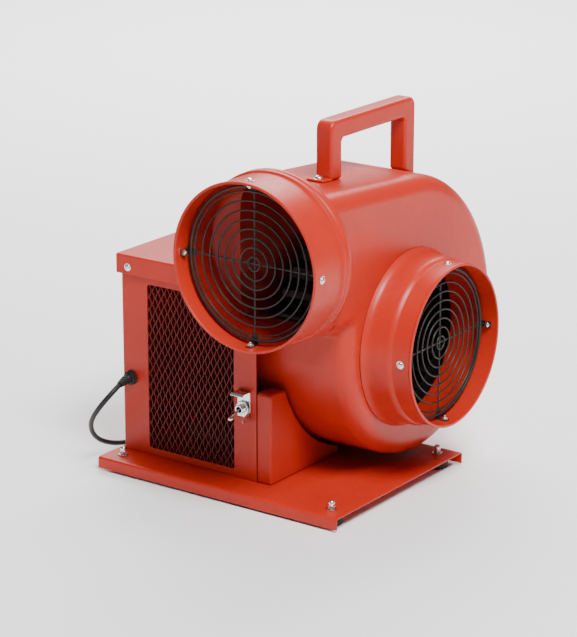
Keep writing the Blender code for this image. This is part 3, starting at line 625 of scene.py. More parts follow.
def copies(
    name: str,
    pattern: Shape,
    places: Sequence[tuple[Point, Point]],
    finish: Finish,
    facing: Facing = Facing.FREE,
    round_edges: float = 0.0,
) -> bpy.types.Object:
    """Repeat a small piece at places, with its own +Z turned to face each place's vector.

    Args:
        name: The name of the object to make.
        pattern: The small piece, made round the origin.
        places: For each copy, where it goes and the vector that it faces.
        finish: The finish of the copies.
        facing: Whether the copies turn freely or only round X.
        round_edges: The width of the rounding on the pattern's edges.

    Returns:
        One mesh object that holds all the copies.
    """
    helper = make_object(f"{name}_pattern", pattern)
    if round_edges:
        soften(helper, round_edges)
    tree = NodeTree(f"{name}_copies", Pattern=helper, Finish=finish.material(), Scale=1.0)
    vector = tree.add("GeometryNodeInputNamedAttribute", {"Name": "facing"}, data_type="FLOAT_VECTOR")
    turn = tree.add(
        "FunctionNodeAlignRotationToVector",
        {"Vector": vector.outputs["Attribute"]},
        axis="Z",
        pivot_axis=facing.value,
    )
    source = tree.add("GeometryNodeObjectInfo", {"Object": "Pattern"})
    spread = tree.add(
        "GeometryNodeInstanceOnPoints",
        {
            "Points": tree.entry.outputs["Geometry"],
            "Instance": source.outputs["Geometry"],
            "Rotation": turn.outputs["Rotation"],
            "Scale": "Scale",
        },
    )
    made = make_points(name, places)
    real = tree.add("GeometryNodeRealizeInstances", {"Geometry": spread.outputs[0]})
    worn = tree.add("GeometryNodeSetMaterial", {"Geometry": real.outputs[0], "Material": "Finish"})
    tree.group.links.new(worn.outputs[0], tree.exit.inputs[0])
    modifier = made.modifiers.new("copies", "NODES")
    modifier.node_group = tree.group
    for key, value in tree.values.items():
        modifier[tree.identifiers[key]] = value
    bpy.context.view_layer.update()
    freeze(made)
    bpy.data.objects.remove(helper, do_unlink=True)
    return made


def make_points(name: str, places: Sequence[tuple[Point, Point]]) -> bpy.types.Object:
    """Make an object of loose vertices that carry a facing vector.

    Args:
        name: The object's name.
        places: For each vertex, its place and its facing vector.

    Returns:
        The object.
    """
    mesh = bpy.data.meshes.new(name)
    mesh.from_pydata([tuple(place) for place, _ in places], [], [])
    facing = mesh.attributes.new("facing", "FLOAT_VECTOR", "POINT")
    facing.data.foreach_set("vector", [channel for _, vector in places for channel in vector])
    made = bpy.data.objects.new(name, mesh)
    bpy.context.scene.collection.objects.link(made)
    return made


def hexagon(radius: float, low: float, high: float, crown: float = 0.0006) -> Shape:
    """Return a hexagonal nut body on Z with crowned ends.

    Args:
        radius: The distance from its axis to a corner.
        low: Where it starts.
        high: Where it ends.
        crown: How far the corners are taken off at each end.

    Returns:
        The shape.
    """
    small = radius - 2 * crown
    rings = ((small, low), (radius, low + crown), (radius, high - crown), (small, high))
    turns = [k * math.pi / 3 for k in range(6)]
    loops = [[(r * math.cos(turn), r * math.sin(turn), z) for turn in turns] for r, z in rings]
    return Shape().loft(loops)


def domed_screw(radius: float, height: float, washer: float) -> Shape:
    """Return a domed screw head on a washer, with a driving slot.

    Args:
        radius: The head's radius.
        height: The head's height over the washer.
        washer: The washer's radius.

    Returns:
        The shape, which faces +Z.
    """
    thick = 0.0007
    disc = [(0, 0), (washer, 0), (washer, thick * 0.8), (washer * 0.93, thick), (0, thick)]
    shape = Shape().turn(disc, Axis.Z, (0, 0), 20)
    dome = [(0.0, thick), (radius, thick)]
    for t in np.linspace(0, 1.35, 6):
        dome.append((radius * math.cos(t), thick + 0.25 * height + 0.75 * height * math.sin(t)))
    top = thick + height
    slot = radius * 0.17
    dome += [(radius * 0.24, top - 0.0001), (radius * 0.20, top - 0.0008), (0.0, top - 0.0008)]
    shape.turn(dome, Axis.Z, (0, 0), 20)
    for turn in (0.0, math.pi / 2):
        c, s = math.cos(turn), math.sin(turn)
        reach = radius * 0.62
        outline = [(-reach, -slot / 2), (reach, -slot / 2), (reach, slot / 2), (-reach, slot / 2)]
        turned = [(u * c - v * s, u * s + v * c) for u, v in outline]
        shape.extend(turned, Axis.Z, top - 0.0006, top - 0.00025)
    return shape


def acorn_nut(radius: float, height: float) -> Shape:
    """Return a domed cap nut on a washer, which faces +Z.

    Args:
        radius: The distance from its axis to a corner of the hexagon.
        height: Its whole height.

    Returns:
        The shape.
    """
    washer = radius * 1.32
    disc = [(0, 0), (washer, 0), (washer, 0.0010), (washer * 0.94, 0.0013), (0, 0.0013)]
    shape = Shape().turn(disc, Axis.Z, (0, 0), 28)
    body = hexagon(radius, 0.0013, height * 0.52)
    shape.add(body.verts, body.faces)
    ball = radius * 0.80
    base = height - ball
    dome = [(0.0, height * 0.45), (ball, height * 0.45)]
    dome += [(ball * math.cos(t), base + ball * math.sin(t)) for t in np.linspace(0.0, math.pi / 2, 8)]
    dome[-1] = (0.0, height)
    return shape.turn(dome, Axis.Z, (0, 0), 24)


def lock_nut(radius: float, height: float) -> Shape:
    """Return a nut with a round collar and a screw's end showing, which faces +Z.

    Args:
        radius: The distance from its axis to a corner of the hexagon.
        height: Its whole height.

    Returns:
        The shape.
    """
    shape = hexagon(radius, 0.0, height * 0.68, 0.0004)
    collar = [(0, height * 0.5), (radius * 0.80, height * 0.5), (radius * 0.80, height * 0.85)]
    collar += [(radius * 0.6, height), (0, height)]
    shape.turn(collar, Axis.Z, (0, 0), 20)
    thread = radius * 0.42
    end = [(0, 0), (thread, 0), (thread, height * 1.25), (0, height * 1.3)]
    return shape.turn(end, Axis.Z, (0, 0), 14)


@dataclass
class SupplyCord:
    """The supply cord: gland, strain relief, its run to the floor, its coil and its plug."""

    radius: float = 0.00325
    length: float = 2.4
    coil_radius: float = 0.0385
    turn_gap: float = 0.0067
    route: tuple[Point, ...] = (
        (-0.1786, -0.1600, 0.1120),
        (-0.1792, -0.1700, 0.1073),
        (-0.1820, -0.1782, 0.1002),
        (-0.1878, -0.1835, 0.0915),
        (-0.1955, -0.1850, 0.0810),
        (-0.2040, -0.1828, 0.0702),
        (-0.2120, -0.1775, 0.0592),
        (-0.2180, -0.1695, 0.0472),
        (-0.2215, -0.1590, 0.0350),
        (-0.2225, -0.1455, 0.0250),
        (-0.2215, -0.1290, 0.0170),
        (-0.2200, -0.1080, 0.0110),
        (-0.2195, -0.0840, 0.0068),
        (-0.2198, -0.0580, 0.0044),
        (-0.2205, -0.0300, 0.0036),
        (-0.2215, 0.0100, 0.0035),
        (-0.2215, 0.0500, 0.0035),
        (-0.2190, 0.0850, 0.0035),
        (-0.2080, 0.1150, 0.0035),
        (-0.1890, 0.1340, 0.0035),
        (-0.1640, 0.1404, 0.0035),
        (-0.1450, 0.1405, 0.0035),
    )

    def build(self) -> None:
        plug = self._plug()
        tie = self._tie()
        relief = self._strain_relief()
        path = self._path()
        curve = bpy.data.curves.new("cord_sheath_run", "CURVE")
        curve.dimensions = "3D"
        curve.bevel_depth = self.radius
        curve.bevel_resolution = 3
        curve.use_fill_caps = True
        spline = curve.splines.new("POLY")
        spline.points.add(len(path) - 1)
        for point, place in zip(spline.points, path):
            point.co = (*place, 1.0)
        curve.materials.append(SHEATH.material())
        cord = bpy.data.objects.new("supply_cord_run", curve)
        bpy.context.scene.collection.objects.link(cord)
        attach(cord, FRAME_BODY)
        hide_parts("supply_cord", "cord_coil")
        LOG.info("supply cord: %d points", len(path))

    def _smooth(self, points: Sequence[Point], steps: int) -> list[np.ndarray]:
        """Return points on a smooth curve through the given points.

        Args:
            points: The points that it passes.
            steps: How many steps it takes from each to the next.

        Returns:
            The curve's points.
        """
        line = [np.array(p, float) for p in points]
        line = [2 * line[0] - line[1], *line, 2 * line[-1] - line[-2]]
        run = []
        for a, b, c, d in zip(line, line[1:], line[2:], line[3:]):
            for t in np.linspace(0, 1, steps, endpoint=False):
                bend = (2 * a - 5 * b + 4 * c - d) * t**2 + (3 * b - 3 * c + d - a) * t**3
                run.append(0.5 * (2 * b + (c - a) * t + bend))
        return [*run, line[-2]]

    def _path(self) -> list[Point]:
        """Return the cord's centre line: its run, then its coil, then its end at the plug."""
        low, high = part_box("cord_coil")
        centre = (low + high) / 2
        run = self._smooth(self.route[:-1], 8)[::4]
        spent = float(np.sum([np.linalg.norm(b - a) for a, b in zip(run, run[1:])]))
        turns = round((self.length - spent - 0.10) / (2 * math.pi * self.coil_radius))
        steps = 28
        coil = []
        for k in range(turns * steps + 1):
            lane, share = divmod(k, steps)
            here, after = self._lane(lane), self._lane(lane + 1)
            blend = max(0.0, (share / steps - 0.72) / 0.28)
            blend = blend * blend * (3 - 2 * blend) if lane < turns - 1 else 0.0
            radius, height = (a + (b - a) * blend for a, b in zip(here, after))
            if k == turns * steps:
                radius, height = self._lane(turns - 1)
            angle = 2 * math.pi * k / steps - math.pi / 2
            place = (centre.x + radius * math.cos(angle), centre.y + radius * math.sin(angle), height)
            coil.append(np.array(place))
        plug_low, plug_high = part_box("plug")
        tail = np.array((plug_low.x - 0.004, (plug_low.y + plug_high.y) / 2, 0.012))
        lead = []
        for share in (0.25, 0.5, 0.75, 1.0):
            ease = share * share * (3 - 2 * share)
            place = coil[-1] + (tail - coil[-1]) * ease
            place[0] = coil[-1][0] + (tail[0] - coil[-1][0]) * share
            lead.append(place)
        return self._relaxed([*run, *coil, *lead])

    def _lane(self, turn: int) -> tuple[float, float]:
        """Return the radius and height of one turn of the coil, three lanes to a layer."""
        layer, lane = divmod(turn, 3)
        column = 2 - lane if layer % 2 == 0 else lane
        floor = self.radius + 0.0005
        return (self.coil_radius + self.turn_gap * (column - 1), floor + self.turn_gap * layer)

    def _relaxed(self, points: Sequence[Point], step: float = 0.003, passes: int = 10) -> list[Point]:
        """Return points at even steps along a line, with its kinks eased out.

        Args:
            points: The line's points.
            step: The distance between the new points.
            passes: How many times each point moves towards its neighbours.

        Returns:
            The eased line.
        """
        line = np.array(points)
        run = np.concatenate([[0], np.cumsum(np.linalg.norm(np.diff(line, axis=0), axis=1))])
        wanted = np.linspace(0, run[-1], round(run[-1] / step) + 1)
        even = np.stack([np.interp(wanted, run, line[:, k]) for k in range(3)], axis=1)
        for _ in range(passes):
            even[1:-1] = (even[:-2] + 2 * even[1:-1] + even[2:]) / 4
        return [tuple(place) for place in even]

    def _tie(self) -> bpy.types.Object:
        """Make the tie round the coil's turns and return it."""
        low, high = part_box("cord_coil")
        centre = (low + high) / 2
        half = (high.z - low.z) / 2
        outline = [(0.0125 * math.cos(t), half * math.sin(t)) for t in np.linspace(0, 2 * math.pi, 25)[:-1]]
        loops = []
        for x in (-0.004, -0.0035, 0.0035, 0.004):
            thick = 0.0 if abs(x) > 0.0036 else 0.0005
            loops.append(
                [
                    (centre.x + x, centre.y + self.coil_radius + u * (1 + thick), low.z + half + v * 0.99)
                    for u, v in outline
                ]
            )
        return dress(make_object("coil_tie", Shape().loft(loops, caps=False)), PLASTIC)

    def _strain_relief(self) -> bpy.types.Object:
        """Make the gland nut and the ribbed strain relief, and return the relief."""
        low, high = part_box("cable_gland")
        centre = (low + high) / 2
        front = low.y
        nut = Shape().turn(
            [
                (0.0050, high.y),
                (0.0062, high.y),
                (0.0062, front + 0.0065),
                (0.0098, front + 0.0065),
                (0.0098, front + 0.0050),
                (0.0090, front + 0.0042),
                (0.0090, front + 0.0012),
                (0.0076, front),
                (0.0050, front),
            ],
            Axis.Y,
            (centre.x, centre.z),
            10,
        )
        dress(make_object("gland_nut", nut), PLASTIC, stands_for=["cable_gland"], sharp=30)
        tip = Vector(self.route[0])
        line = [(centre.x, front + 0.010, centre.z), (centre.x, front + 0.003, centre.z)]
        line.append((centre.x, front - 0.0045, centre.z - 0.0002))
        line.append((centre.x - 0.0002, front - 0.0105, centre.z - 0.0017))
        line.append(tuple(tip + Vector((0.0001, 0.0006, 0.0003))))
        path = self._smooth(line, 7)
        radii = []
        for k in range(len(path)):
            share = k / (len(path) - 1)
            rib = 0.0004 * (1 if k % 4 < 2 else -1) if 0.30 < share < 0.94 else 0.0
            radii.append(0.0066 - 0.0026 * max(0.0, share - 0.25) / 0.75 + rib)
        radii = [min(r, 0.0046) if k < 8 else r for k, r in enumerate(radii)]
        relief = make_object("relief_sleeve", Shape().sweep([tuple(p) for p in path], radii, 20))
        return dress(relief, SHEATH, stands_for=["strain_relief"], sharp=50)

    def _plug(self) -> bpy.types.Object:
        """Make the moulded plug with its blades and return its body."""
        low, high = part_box("plug")
        mid = (low + high) / 2
        body_end = low.x + 0.038
        loops = []
        for x, wide, tall in (
            (low.x, 0.0045, 0.0045),
            (low.x + 0.006, 0.0055, 0.0055),
            (low.x + 0.012, 0.0085, 0.0080),
            (low.x + 0.018, 0.0112, 0.0105),
            (low.x + 0.032, 0.0118, 0.0112),
            (body_end - 0.001, 0.0116, 0.0110),
            (body_end, 0.0108, 0.0102),
        ):
            ring = []
            for k in range(28):
                t = 2 * math.pi * k / 28
                c, s = math.cos(t), math.sin(t)
                ring.append(
                    (
                        x,
                        mid.y + wide * math.copysign(abs(c) ** 0.55, c),
                        0.0117 + tall * math.copysign(abs(s) ** 0.55, s),
                    )
                )
            loops.append(ring)
        plug = dress(make_object("plug_body", Shape().loft(loops)), PLASTIC, stands_for=["plug"])
        blades = Shape()
        for side in (-0.0063, 0.0063):
            blades.block(
                (body_end - 0.002, mid.y + side - 0.0008, 0.0120), (high.x, mid.y + side + 0.0008, 0.0182)
            )
        pin = [(0, body_end - 0.002), (0.0023, body_end - 0.002), (0.0023, high.x - 0.002)]
        pin += [(0.0012, high.x), (0, high.x)]
        blades.turn(pin, Axis.X, (mid.y, 0.0066), 16)
        pins = make_object("plug_blades", blades)
        soften(pins, 0.0003)
        dress(pins, BRASS)
        return plug


@dataclass
class BasePlate:
    """The folded base plate with its feet and corner nuts."""

    sheet: float = 0.002
    bend: float = 0.0035
    lip: float = 0.0150

    def build(self) -> None:
        """Make the plate, the feet and the nuts."""
        low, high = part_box("base_plate")
        corners = [(low.y, high.z - self.lip), (low.y, high.z), (high.y, high.z), (high.y, high.z - self.lip)]
        outline = folded(corners, -self.sheet, self.bend)
        plate = make_object("folded_base", Shape().extend(outline, Axis.X, low.x, high.x))
        soften(plate, 0.0005)
        dress(plate, ENAMEL, stands_for=["base_plate"], sharp=50)
        nodes = [f"{side}_{end}" for side in ("front", "rear") for end in ("left", "right")]
        nuts = [f"acorn_nut_{node}" for node in nodes]
        places = []
        for nut in nuts:
            nut_low, nut_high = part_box(nut)
            centre = (nut_low + nut_high) / 2
            places.append(((centre.x, centre.y, nut_low.z), (0, 0, 1)))
        height = nut_high.z - nut_low.z
        caps = copies("corner_nuts", acorn_nut(0.0052, height), places, ZINC)
        dress(caps, ZINC, stands_for=nuts, sharp=30)
        feet = [f"foot_{node}" for node in nodes]
        spots = []
        for foot in feet:
            foot_low, foot_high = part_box(foot)
            spots.append(((*((foot_low + foot_high) / 2).xy, 0.0), (0, 0, 1)))
        tall = foot_high.z
        profile = [(0, 0.0015), (0.0052, 0.0015), (0.0056, 0), (0.0112, 0), (0.0125, 0.0008)]
        profile += [(0.0132, 0.0030), (0.0138, tall * 0.55), (0.0136, tall - 0.004)]
        profile += [(0.0128, tall - 0.001), (0.0118, tall), (0, tall)]
        pads = copies("rubber_feet", Shape().turn(profile, Axis.Z, (0, 0), 32), spots, RUBBER)
        dress(pads, RUBBER, stands_for=feet)


@dataclass
class MotorBox:
    """The sheet-metal motor box: wrap, lid, bulkhead, front grille and screws."""

    gland_hole: float = 0.0065
    switch_hole: float = 0.0062
    sheet: float = 0.0015
    bend: float = 0.0028
    opening: tuple[float, float, float, float] = (-0.151, 0.028, -0.017, 0.243)
    wing_top: float = 0.210
    cells_across: int = 14
    cells_high: int = 13
    strand: float = 0.0034

    def build(self) -> None:
        """Make the wrap, the lid, the grille and their fasteners."""
        self._wrap()
        self._lid()
        self._grille()
        # The bulkhead wears the darkened copy of the orange enamel, which paints the shade inside the box.
        dress_node(INSIDE_ENAMEL_PAINTED_SHADE, "box_bulkhead")

    def _wrap(self) -> None:
        """Make the front, left and rear walls from one folded sheet."""
        low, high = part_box("motor_box")
        box_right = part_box("box_lid")[1].x
        left, bottom, right, top = self.opening
        corners = [(high.x, low.y), (low.x, low.y), (low.x, high.y), (box_right, high.y)]
        outline = folded(corners, -self.sheet, self.bend)
        wrap = make_object("box_wrap", Shape().extend(outline, Axis.Z, low.z, high.z))
        gland, bushing = middle("cable_gland"), middle("switch_bushing")
        near, far = low.y - 0.01, low.y + 0.01
        cutters = [
            Shape().block((box_right, near, self.wing_top), (high.x + 0.01, far, high.z + 0.01)),
            Shape().extend(self._rounded_window(left, bottom, right, top), Axis.Y, near, far),
            Shape().rod(self.gland_hole, (near, far), Axis.Y, (gland.x, gland.z)),
            Shape().rod(self.switch_hole, (near, far), Axis.Y, (bushing.x, bushing.z)),
        ]
        for row in range(6):
            slot_low = 0.073 + 0.024 * row
            slot_top = slot_low + 0.006
            window = self._rounded_window(low.x + 0.045, slot_low, box_right - 0.045, slot_top, 0.0028)
            cutters.append(Shape().extend(window, Axis.Y, high.y - 0.01, high.y + 0.01))
        carve(wrap, cutters)
        soften(wrap, 0.0003, 1)
        dress(wrap, ENAMEL, stands_for=["motor_box"], sharp=50)
        louvres = Shape()
        for row in range(6):
            slot_low = 0.073 + 0.024 * row
            section = [(high.y - self.sheet, slot_low + 0.0062), (high.y - self.sheet, slot_low + 0.0050)]
            section += [(high.y - 0.0068, slot_low - 0.0012), (high.y - 0.0078, slot_low - 0.0006)]
            louvres.extend(section, Axis.X, low.x + 0.046, box_right - 0.046)
        dress(make_object("rear_louvres", louvres), ENAMEL)

    @staticmethod
    def _rounded_window(left: float, bottom: float, right: float, top: float, radius: float = 0.0025) -> list:
        """Return a rectangle's outline with round corners."""
        points = arc((right - radius, top - radius), radius, 0, 90, 4)
        points += arc((left + radius, top - radius), radius, 90, 180, 4)
        points += arc((left + radius, bottom + radius), radius, 180, 270, 4)
        return points + arc((right - radius, bottom + radius), radius, 270, 360, 4)

    def _lid(self) -> None:
        """Make the lid with its folded rim, and the screws through the rim."""
        low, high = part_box("box_lid")
        top = self.sheet + 0.0004
        spare = 0.006
        piece = make_object(
            "box_cover", Shape().block((low.x, low.y, low.z - spare), (high.x + spare, high.y, high.z))
        )
        soften(piece, self.bend, 4)
        far = 0.05
        inside = Shape().block(
            (low.x + self.sheet, low.y + self.sheet, low.z - far),
            (high.x + far, high.y - self.sheet, high.z - top),
        )
        right = Shape().block((high.x, low.y - far, low.z - far), (high.x + far, high.y + far, high.z + far))
        bottom = Shape().block((low.x - far, low.y - far, low.z - far), (high.x + far, high.y + far, low.z))
        carve(piece, [inside, right, bottom])
        soften(piece, 0.0003, 1)
        dress(piece, ENAMEL, stands_for=["box_lid"], sharp=50)
        screws = ["lid_screw_1", "lid_screw_2"]
        places = [((middle(s).x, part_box(s)[1].y + 0.0002, middle(s).z), (0, -1, 0)) for s in screws]
        heads = copies("cover_screws", domed_screw(0.0036, 0.0022, 0.0050), places, ZINC)
        dress(heads, ZINC, stands_for=screws, sharp=30)

    def _grille(self) -> None:
        """Make the expanded metal behind the front opening from zigzag strands."""
        low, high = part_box("front_grille")
        left, bottom, right, top = self.opening
        pitch = (right - left) / self.cells_across
        rise = (top - bottom) / self.cells_high
        tree = NodeTree(
            "expanded_metal",
            Pitch=pitch,
            Rise=rise,
            Strand=self.strand,
            Thickness=0.0011,
            Across=2 * self.cells_across + 3,
            High=2 * self.cells_high + 5,
            Left=left - pitch / 2,
            Bottom=bottom - rise,
            Depth=(low.y + high.y) / 2,
            Finish=MESH_ENAMEL_PAINTED_SHADE.material(),
        )
        line = tree.add("GeometryNodeMeshLine", {"Count": "High"})
        offset = tree.add("ShaderNodeCombineXYZ", {"Z": tree.maths("MULTIPLY", "Rise", 0.5)})
        tree.group.links.new(offset.outputs[0], line.inputs["Offset"])
        index = tree.add("GeometryNodeInputIndex").outputs[0]
        parity = tree.maths("SUBTRACT", tree.maths("MODULO", index, 2.0), 0.5)
        sway = tree.maths("MULTIPLY", parity, tree.maths("MULTIPLY", "Pitch", 0.36))
        shift = tree.add("ShaderNodeCombineXYZ", {"X": sway})
        bent = tree.add("GeometryNodeSetPosition", {"Geometry": line.outputs[0], "Offset": shift.outputs[0]})
        curve = tree.add("GeometryNodeMeshToCurve", {"Mesh": bent.outputs[0]})
        size = {"Width": "Strand", "Height": "Thickness"}
        section = tree.add("GeometryNodeCurvePrimitiveQuadrilateral", size)
        along = {"Curve": curve.outputs[0], "Profile Curve": section.outputs[0]}
        strand = tree.add("GeometryNodeCurveToMesh", along)
        strand.inputs["Fill Caps"].default_value = True
        row_step = tree.add("ShaderNodeCombineXYZ", {"X": tree.maths("MULTIPLY", "Pitch", 0.5)})
        row_start = tree.add("ShaderNodeCombineXYZ", {"X": "Left", "Y": "Depth", "Z": "Bottom"})
        row = tree.add(
            "GeometryNodeMeshLine",
            {"Count": "Across", "Start Location": row_start.outputs[0], "Offset": row_step.outputs[0]},
        )
        number = tree.add("GeometryNodeInputIndex").outputs[0]
        half_turn = tree.maths("MULTIPLY", tree.maths("MODULO", number, 2.0), math.pi)
        euler = tree.add("ShaderNodeCombineXYZ", {"Z": half_turn})
        turn = tree.add("FunctionNodeEulerToRotation", {"Euler": euler.outputs[0]})
        spread = tree.add(
            "GeometryNodeInstanceOnPoints",
            {"Points": row.outputs[0], "Instance": strand.outputs[0], "Rotation": turn.outputs[0]},
        )
        mesh = tree.bake("expanded_grille", spread.outputs[0])
        rim = 0.006
        frame_low = (left - rim, low.y - 0.01, bottom - rim)
        frame_high = (right + rim, high.y + 0.01, top + rim)
        self._trim(mesh, frame_low, frame_high)
        # The grille wears the darkened copy of the orange enamel, which paints the shade on its strands.
        dress(mesh, MESH_ENAMEL_PAINTED_SHADE, stands_for=["front_grille"], sharp=30)

    @staticmethod
    def _trim(piece: bpy.types.Object, low: Point, high: Point) -> None:
        """Cut a piece back to a rectangle seen from the front, and close its ends.

        Args:
            piece: The piece to cut.
            low: The rectangle's lower left corner.
            high: Its upper right corner.
        """
        work = bmesh.new()
        work.from_mesh(piece.data)
        for corner, normal in ((low, (-1, 0, 0)), (high, (1, 0, 0)), (low, (0, 0, -1)), (high, (0, 0, 1))):
            found = bmesh.ops.bisect_plane(
                work,
                geom=[*work.verts, *work.edges, *work.faces],
                plane_co=corner,
                plane_no=normal,
                clear_outer=True,
            )
            edges = [item for item in found["geom_cut"] if isinstance(item, bmesh.types.BMEdge)]
            bmesh.ops.holes_fill(work, edges=edges, sides=8)
        bmesh.ops.recalc_face_normals(work, faces=work.faces)
        work.to_mesh(piece.data)
        work.free()


@dataclass
class ScrollHousing:
    """The scroll: its housing, back plate and the support that it stands on."""

    small: float = 0.1357
    large: float = 0.200
    full_angle: float = 190.0
    wall: float = 0.003
    shoulder: float = 0.022
    mouth_bottom: float = 0.224
    mouth_top: float = 0.398
    fillet: float = 0.012
    eye: float = 0.099

    def __post_init__(self) -> None:
        """Take the places from the frame."""
        self.axis = middle("motor_shaft").yz
        low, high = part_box("scroll_housing")
        self.back, self.front, self.mouth = low.x, high.x, low.y

    def radius(self, angle: float) -> float:
        """Return the outline's radius at an angle in degrees from -Y, turning down and round."""
        share = min(max(angle / self.full_angle, 0.0), 1.0)
        return self.small + (self.large - self.small) * math.sin(math.pi / 2 * share**1.25) ** 2

    def point(self, angle: float, inset: float = 0.0) -> tuple[float, float]:
        """Return the outline's (y, z) place at an angle, moved inwards by an inset."""
        reach = self.radius(angle) - inset
        turn = math.radians(angle)
        return (self.axis[0] - reach * math.cos(turn), self.axis[1] - reach * math.sin(turn))

    def top(self, y: float) -> float:
        """Return the height of the housing's upper surface over a place along Y."""
        if y > self.axis[0]:
            return self.axis[1] + math.sqrt(self.large**2 - (y - self.axis[0]) ** 2)
        share = (self.axis[0] - y) / (self.axis[0] - self.mouth)
        ridge = self.axis[1] + self.large
        return ridge + share * (self.mouth_top - ridge)

    def outline(self, inset: float, mouth: float) -> list[tuple[float, float]]:
        """Return the closed outline in Y and Z.

        Args:
            inset: How far it lies inside the outer skin.
            mouth: Where the mouth ends along Y.

        Returns:
            The outline's points.
        """
        bottom = self.mouth_bottom + inset
        corner = (self.point(-8.0)[0] + inset - self.fillet, bottom - self.fillet)
        points = [(mouth, bottom), *arc(corner, self.fillet, 90, 0, 6)]
        points += [self.point(270 * k / 135, inset) for k in range(2, 136)]
        steps = 6
        for k in range(1, steps):
            y = self.axis[0] + (mouth - self.axis[0]) * k / steps
            points.append((y, self.top(y) - inset))
        return [*points, (mouth, self.top(mouth) - inset)]

    def body(self, inset: float, back: float, front: float, mouth: float) -> Shape:
        """Return a closed body on the outline, with its front edge rounded.

        Args:
            inset: How far it lies inside the outer skin.
            back: Where it starts along X.
            front: Where it ends along X.
            mouth: Where the mouth ends along Y.

        Returns:
            The shape.
        """
        round_edge = self.shoulder - inset
        stations = [(back, 0.0), (back + 0.0008, 0.0), ((back + front - round_edge) / 2, 0.0)]
        for k in range(13):
            turn = math.pi / 2 * k / 12
            along = front - round_edge + round_edge * math.sin(turn)
            stations.append((along, round_edge * (1 - math.cos(turn))))
        loops = [[(x, y, z) for y, z in self.outline(inset + narrower, mouth)] for x, narrower in stations]
        return Shape().loft(loops)

    def build(self) -> None:
        """Make the housing, its back plate and its support."""
        shell = make_object("scroll_shell", self.body(0.0, self.back, self.front, self.mouth - 0.03))
        hollow = self.body(self.wall, self.back - 0.014, self.front - self.wall, self.mouth - 0.06)
        mouth = Shape().block((-0.1, self.mouth - 0.1, 0.1), (0.3, self.mouth, 0.5))
        near, far = self.front - 0.03, self.front + 0.03
        eye = [(0, near), (self.eye, near), (self.eye, far), (0, far)]
        carve(shell, [hollow, mouth, Shape().turn(eye, Axis.X, self.axis, 96)])
        dress(shell, ENAMEL, stands_for=["scroll_housing"], sharp=32)
        weigh = shell.modifiers.new("flat faces stay flat", "WEIGHTED_NORMAL")
        weigh.keep_sharp = True

        low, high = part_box("scroll_back_plate")
        outline = self.outline(0.0, self.mouth)
        plate = make_object("back_cover", Shape().extend(outline, Axis.X, low.x, high.x))
        hole = [(0, low.x - 0.01), (0.011, low.x - 0.01), (0.011, high.x + 0.01), (0, high.x + 0.01)]
        carve(plate, [Shape().turn(hole, Axis.X, self.axis, 40)])
        dress(plate, ENAMEL, stands_for=["scroll_back_plate"], sharp=40)
        rivets = [((low.x, *self.point(angle, 0.010)), (-1, 0, 0)) for angle in range(-2, 268, 18)]
        rivets += [((low.x, y, self.top(y) - 0.010), (-1, 0, 0)) for y in (-0.035, -0.105)]
        rivets += [((low.x, -0.128, z), (-1, 0, 0)) for z in (0.250, 0.318)]
        dome = [(0, 0), (0.0036, 0), (0.0034, 0.0007), (0.0024, 0.0016), (0.0010, 0.0020), (0, 0.0021)]
        studs = copies("back_rivets", Shape().turn(dome, Axis.Z, (0, 0), 16), rivets, ZINC)
        dress(studs, ZINC)
        self._support()

    def _support(self) -> None:
        """Make the folded support under the scroll."""
        low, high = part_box("scroll_cradle")
        clear = 0.0052
        corner = 0.005

        def section(inset: float, floor: float, last: float) -> list:
            front, top = low.y + inset, high.z - inset
            points = [(front, floor)]
            points += arc((front + corner, top - corner), corner, 180, 90, 5)
            for k in range(21):
                angle = 22 + (last - 22) * k / 20
                y, z = self.point(angle, -clear - inset)
                if z < top - 0.0005:
                    points.append((y, z))
            return [*points, (points[-1][0], floor)]

        solid = Shape().extend(section(0, low.z, 84), Axis.X, low.x, high.x)
        support = make_object("scroll_support", solid)
        soften(support, 0.0022, 3, 50)
        hollow = Shape().extend(section(0.0015, low.z - 0.02, 58), Axis.X, low.x + 0.0015, high.x - 0.0015)
        carve(support, [hollow])
        dress(support, ENAMEL, stands_for=["scroll_cradle"], sharp=40)


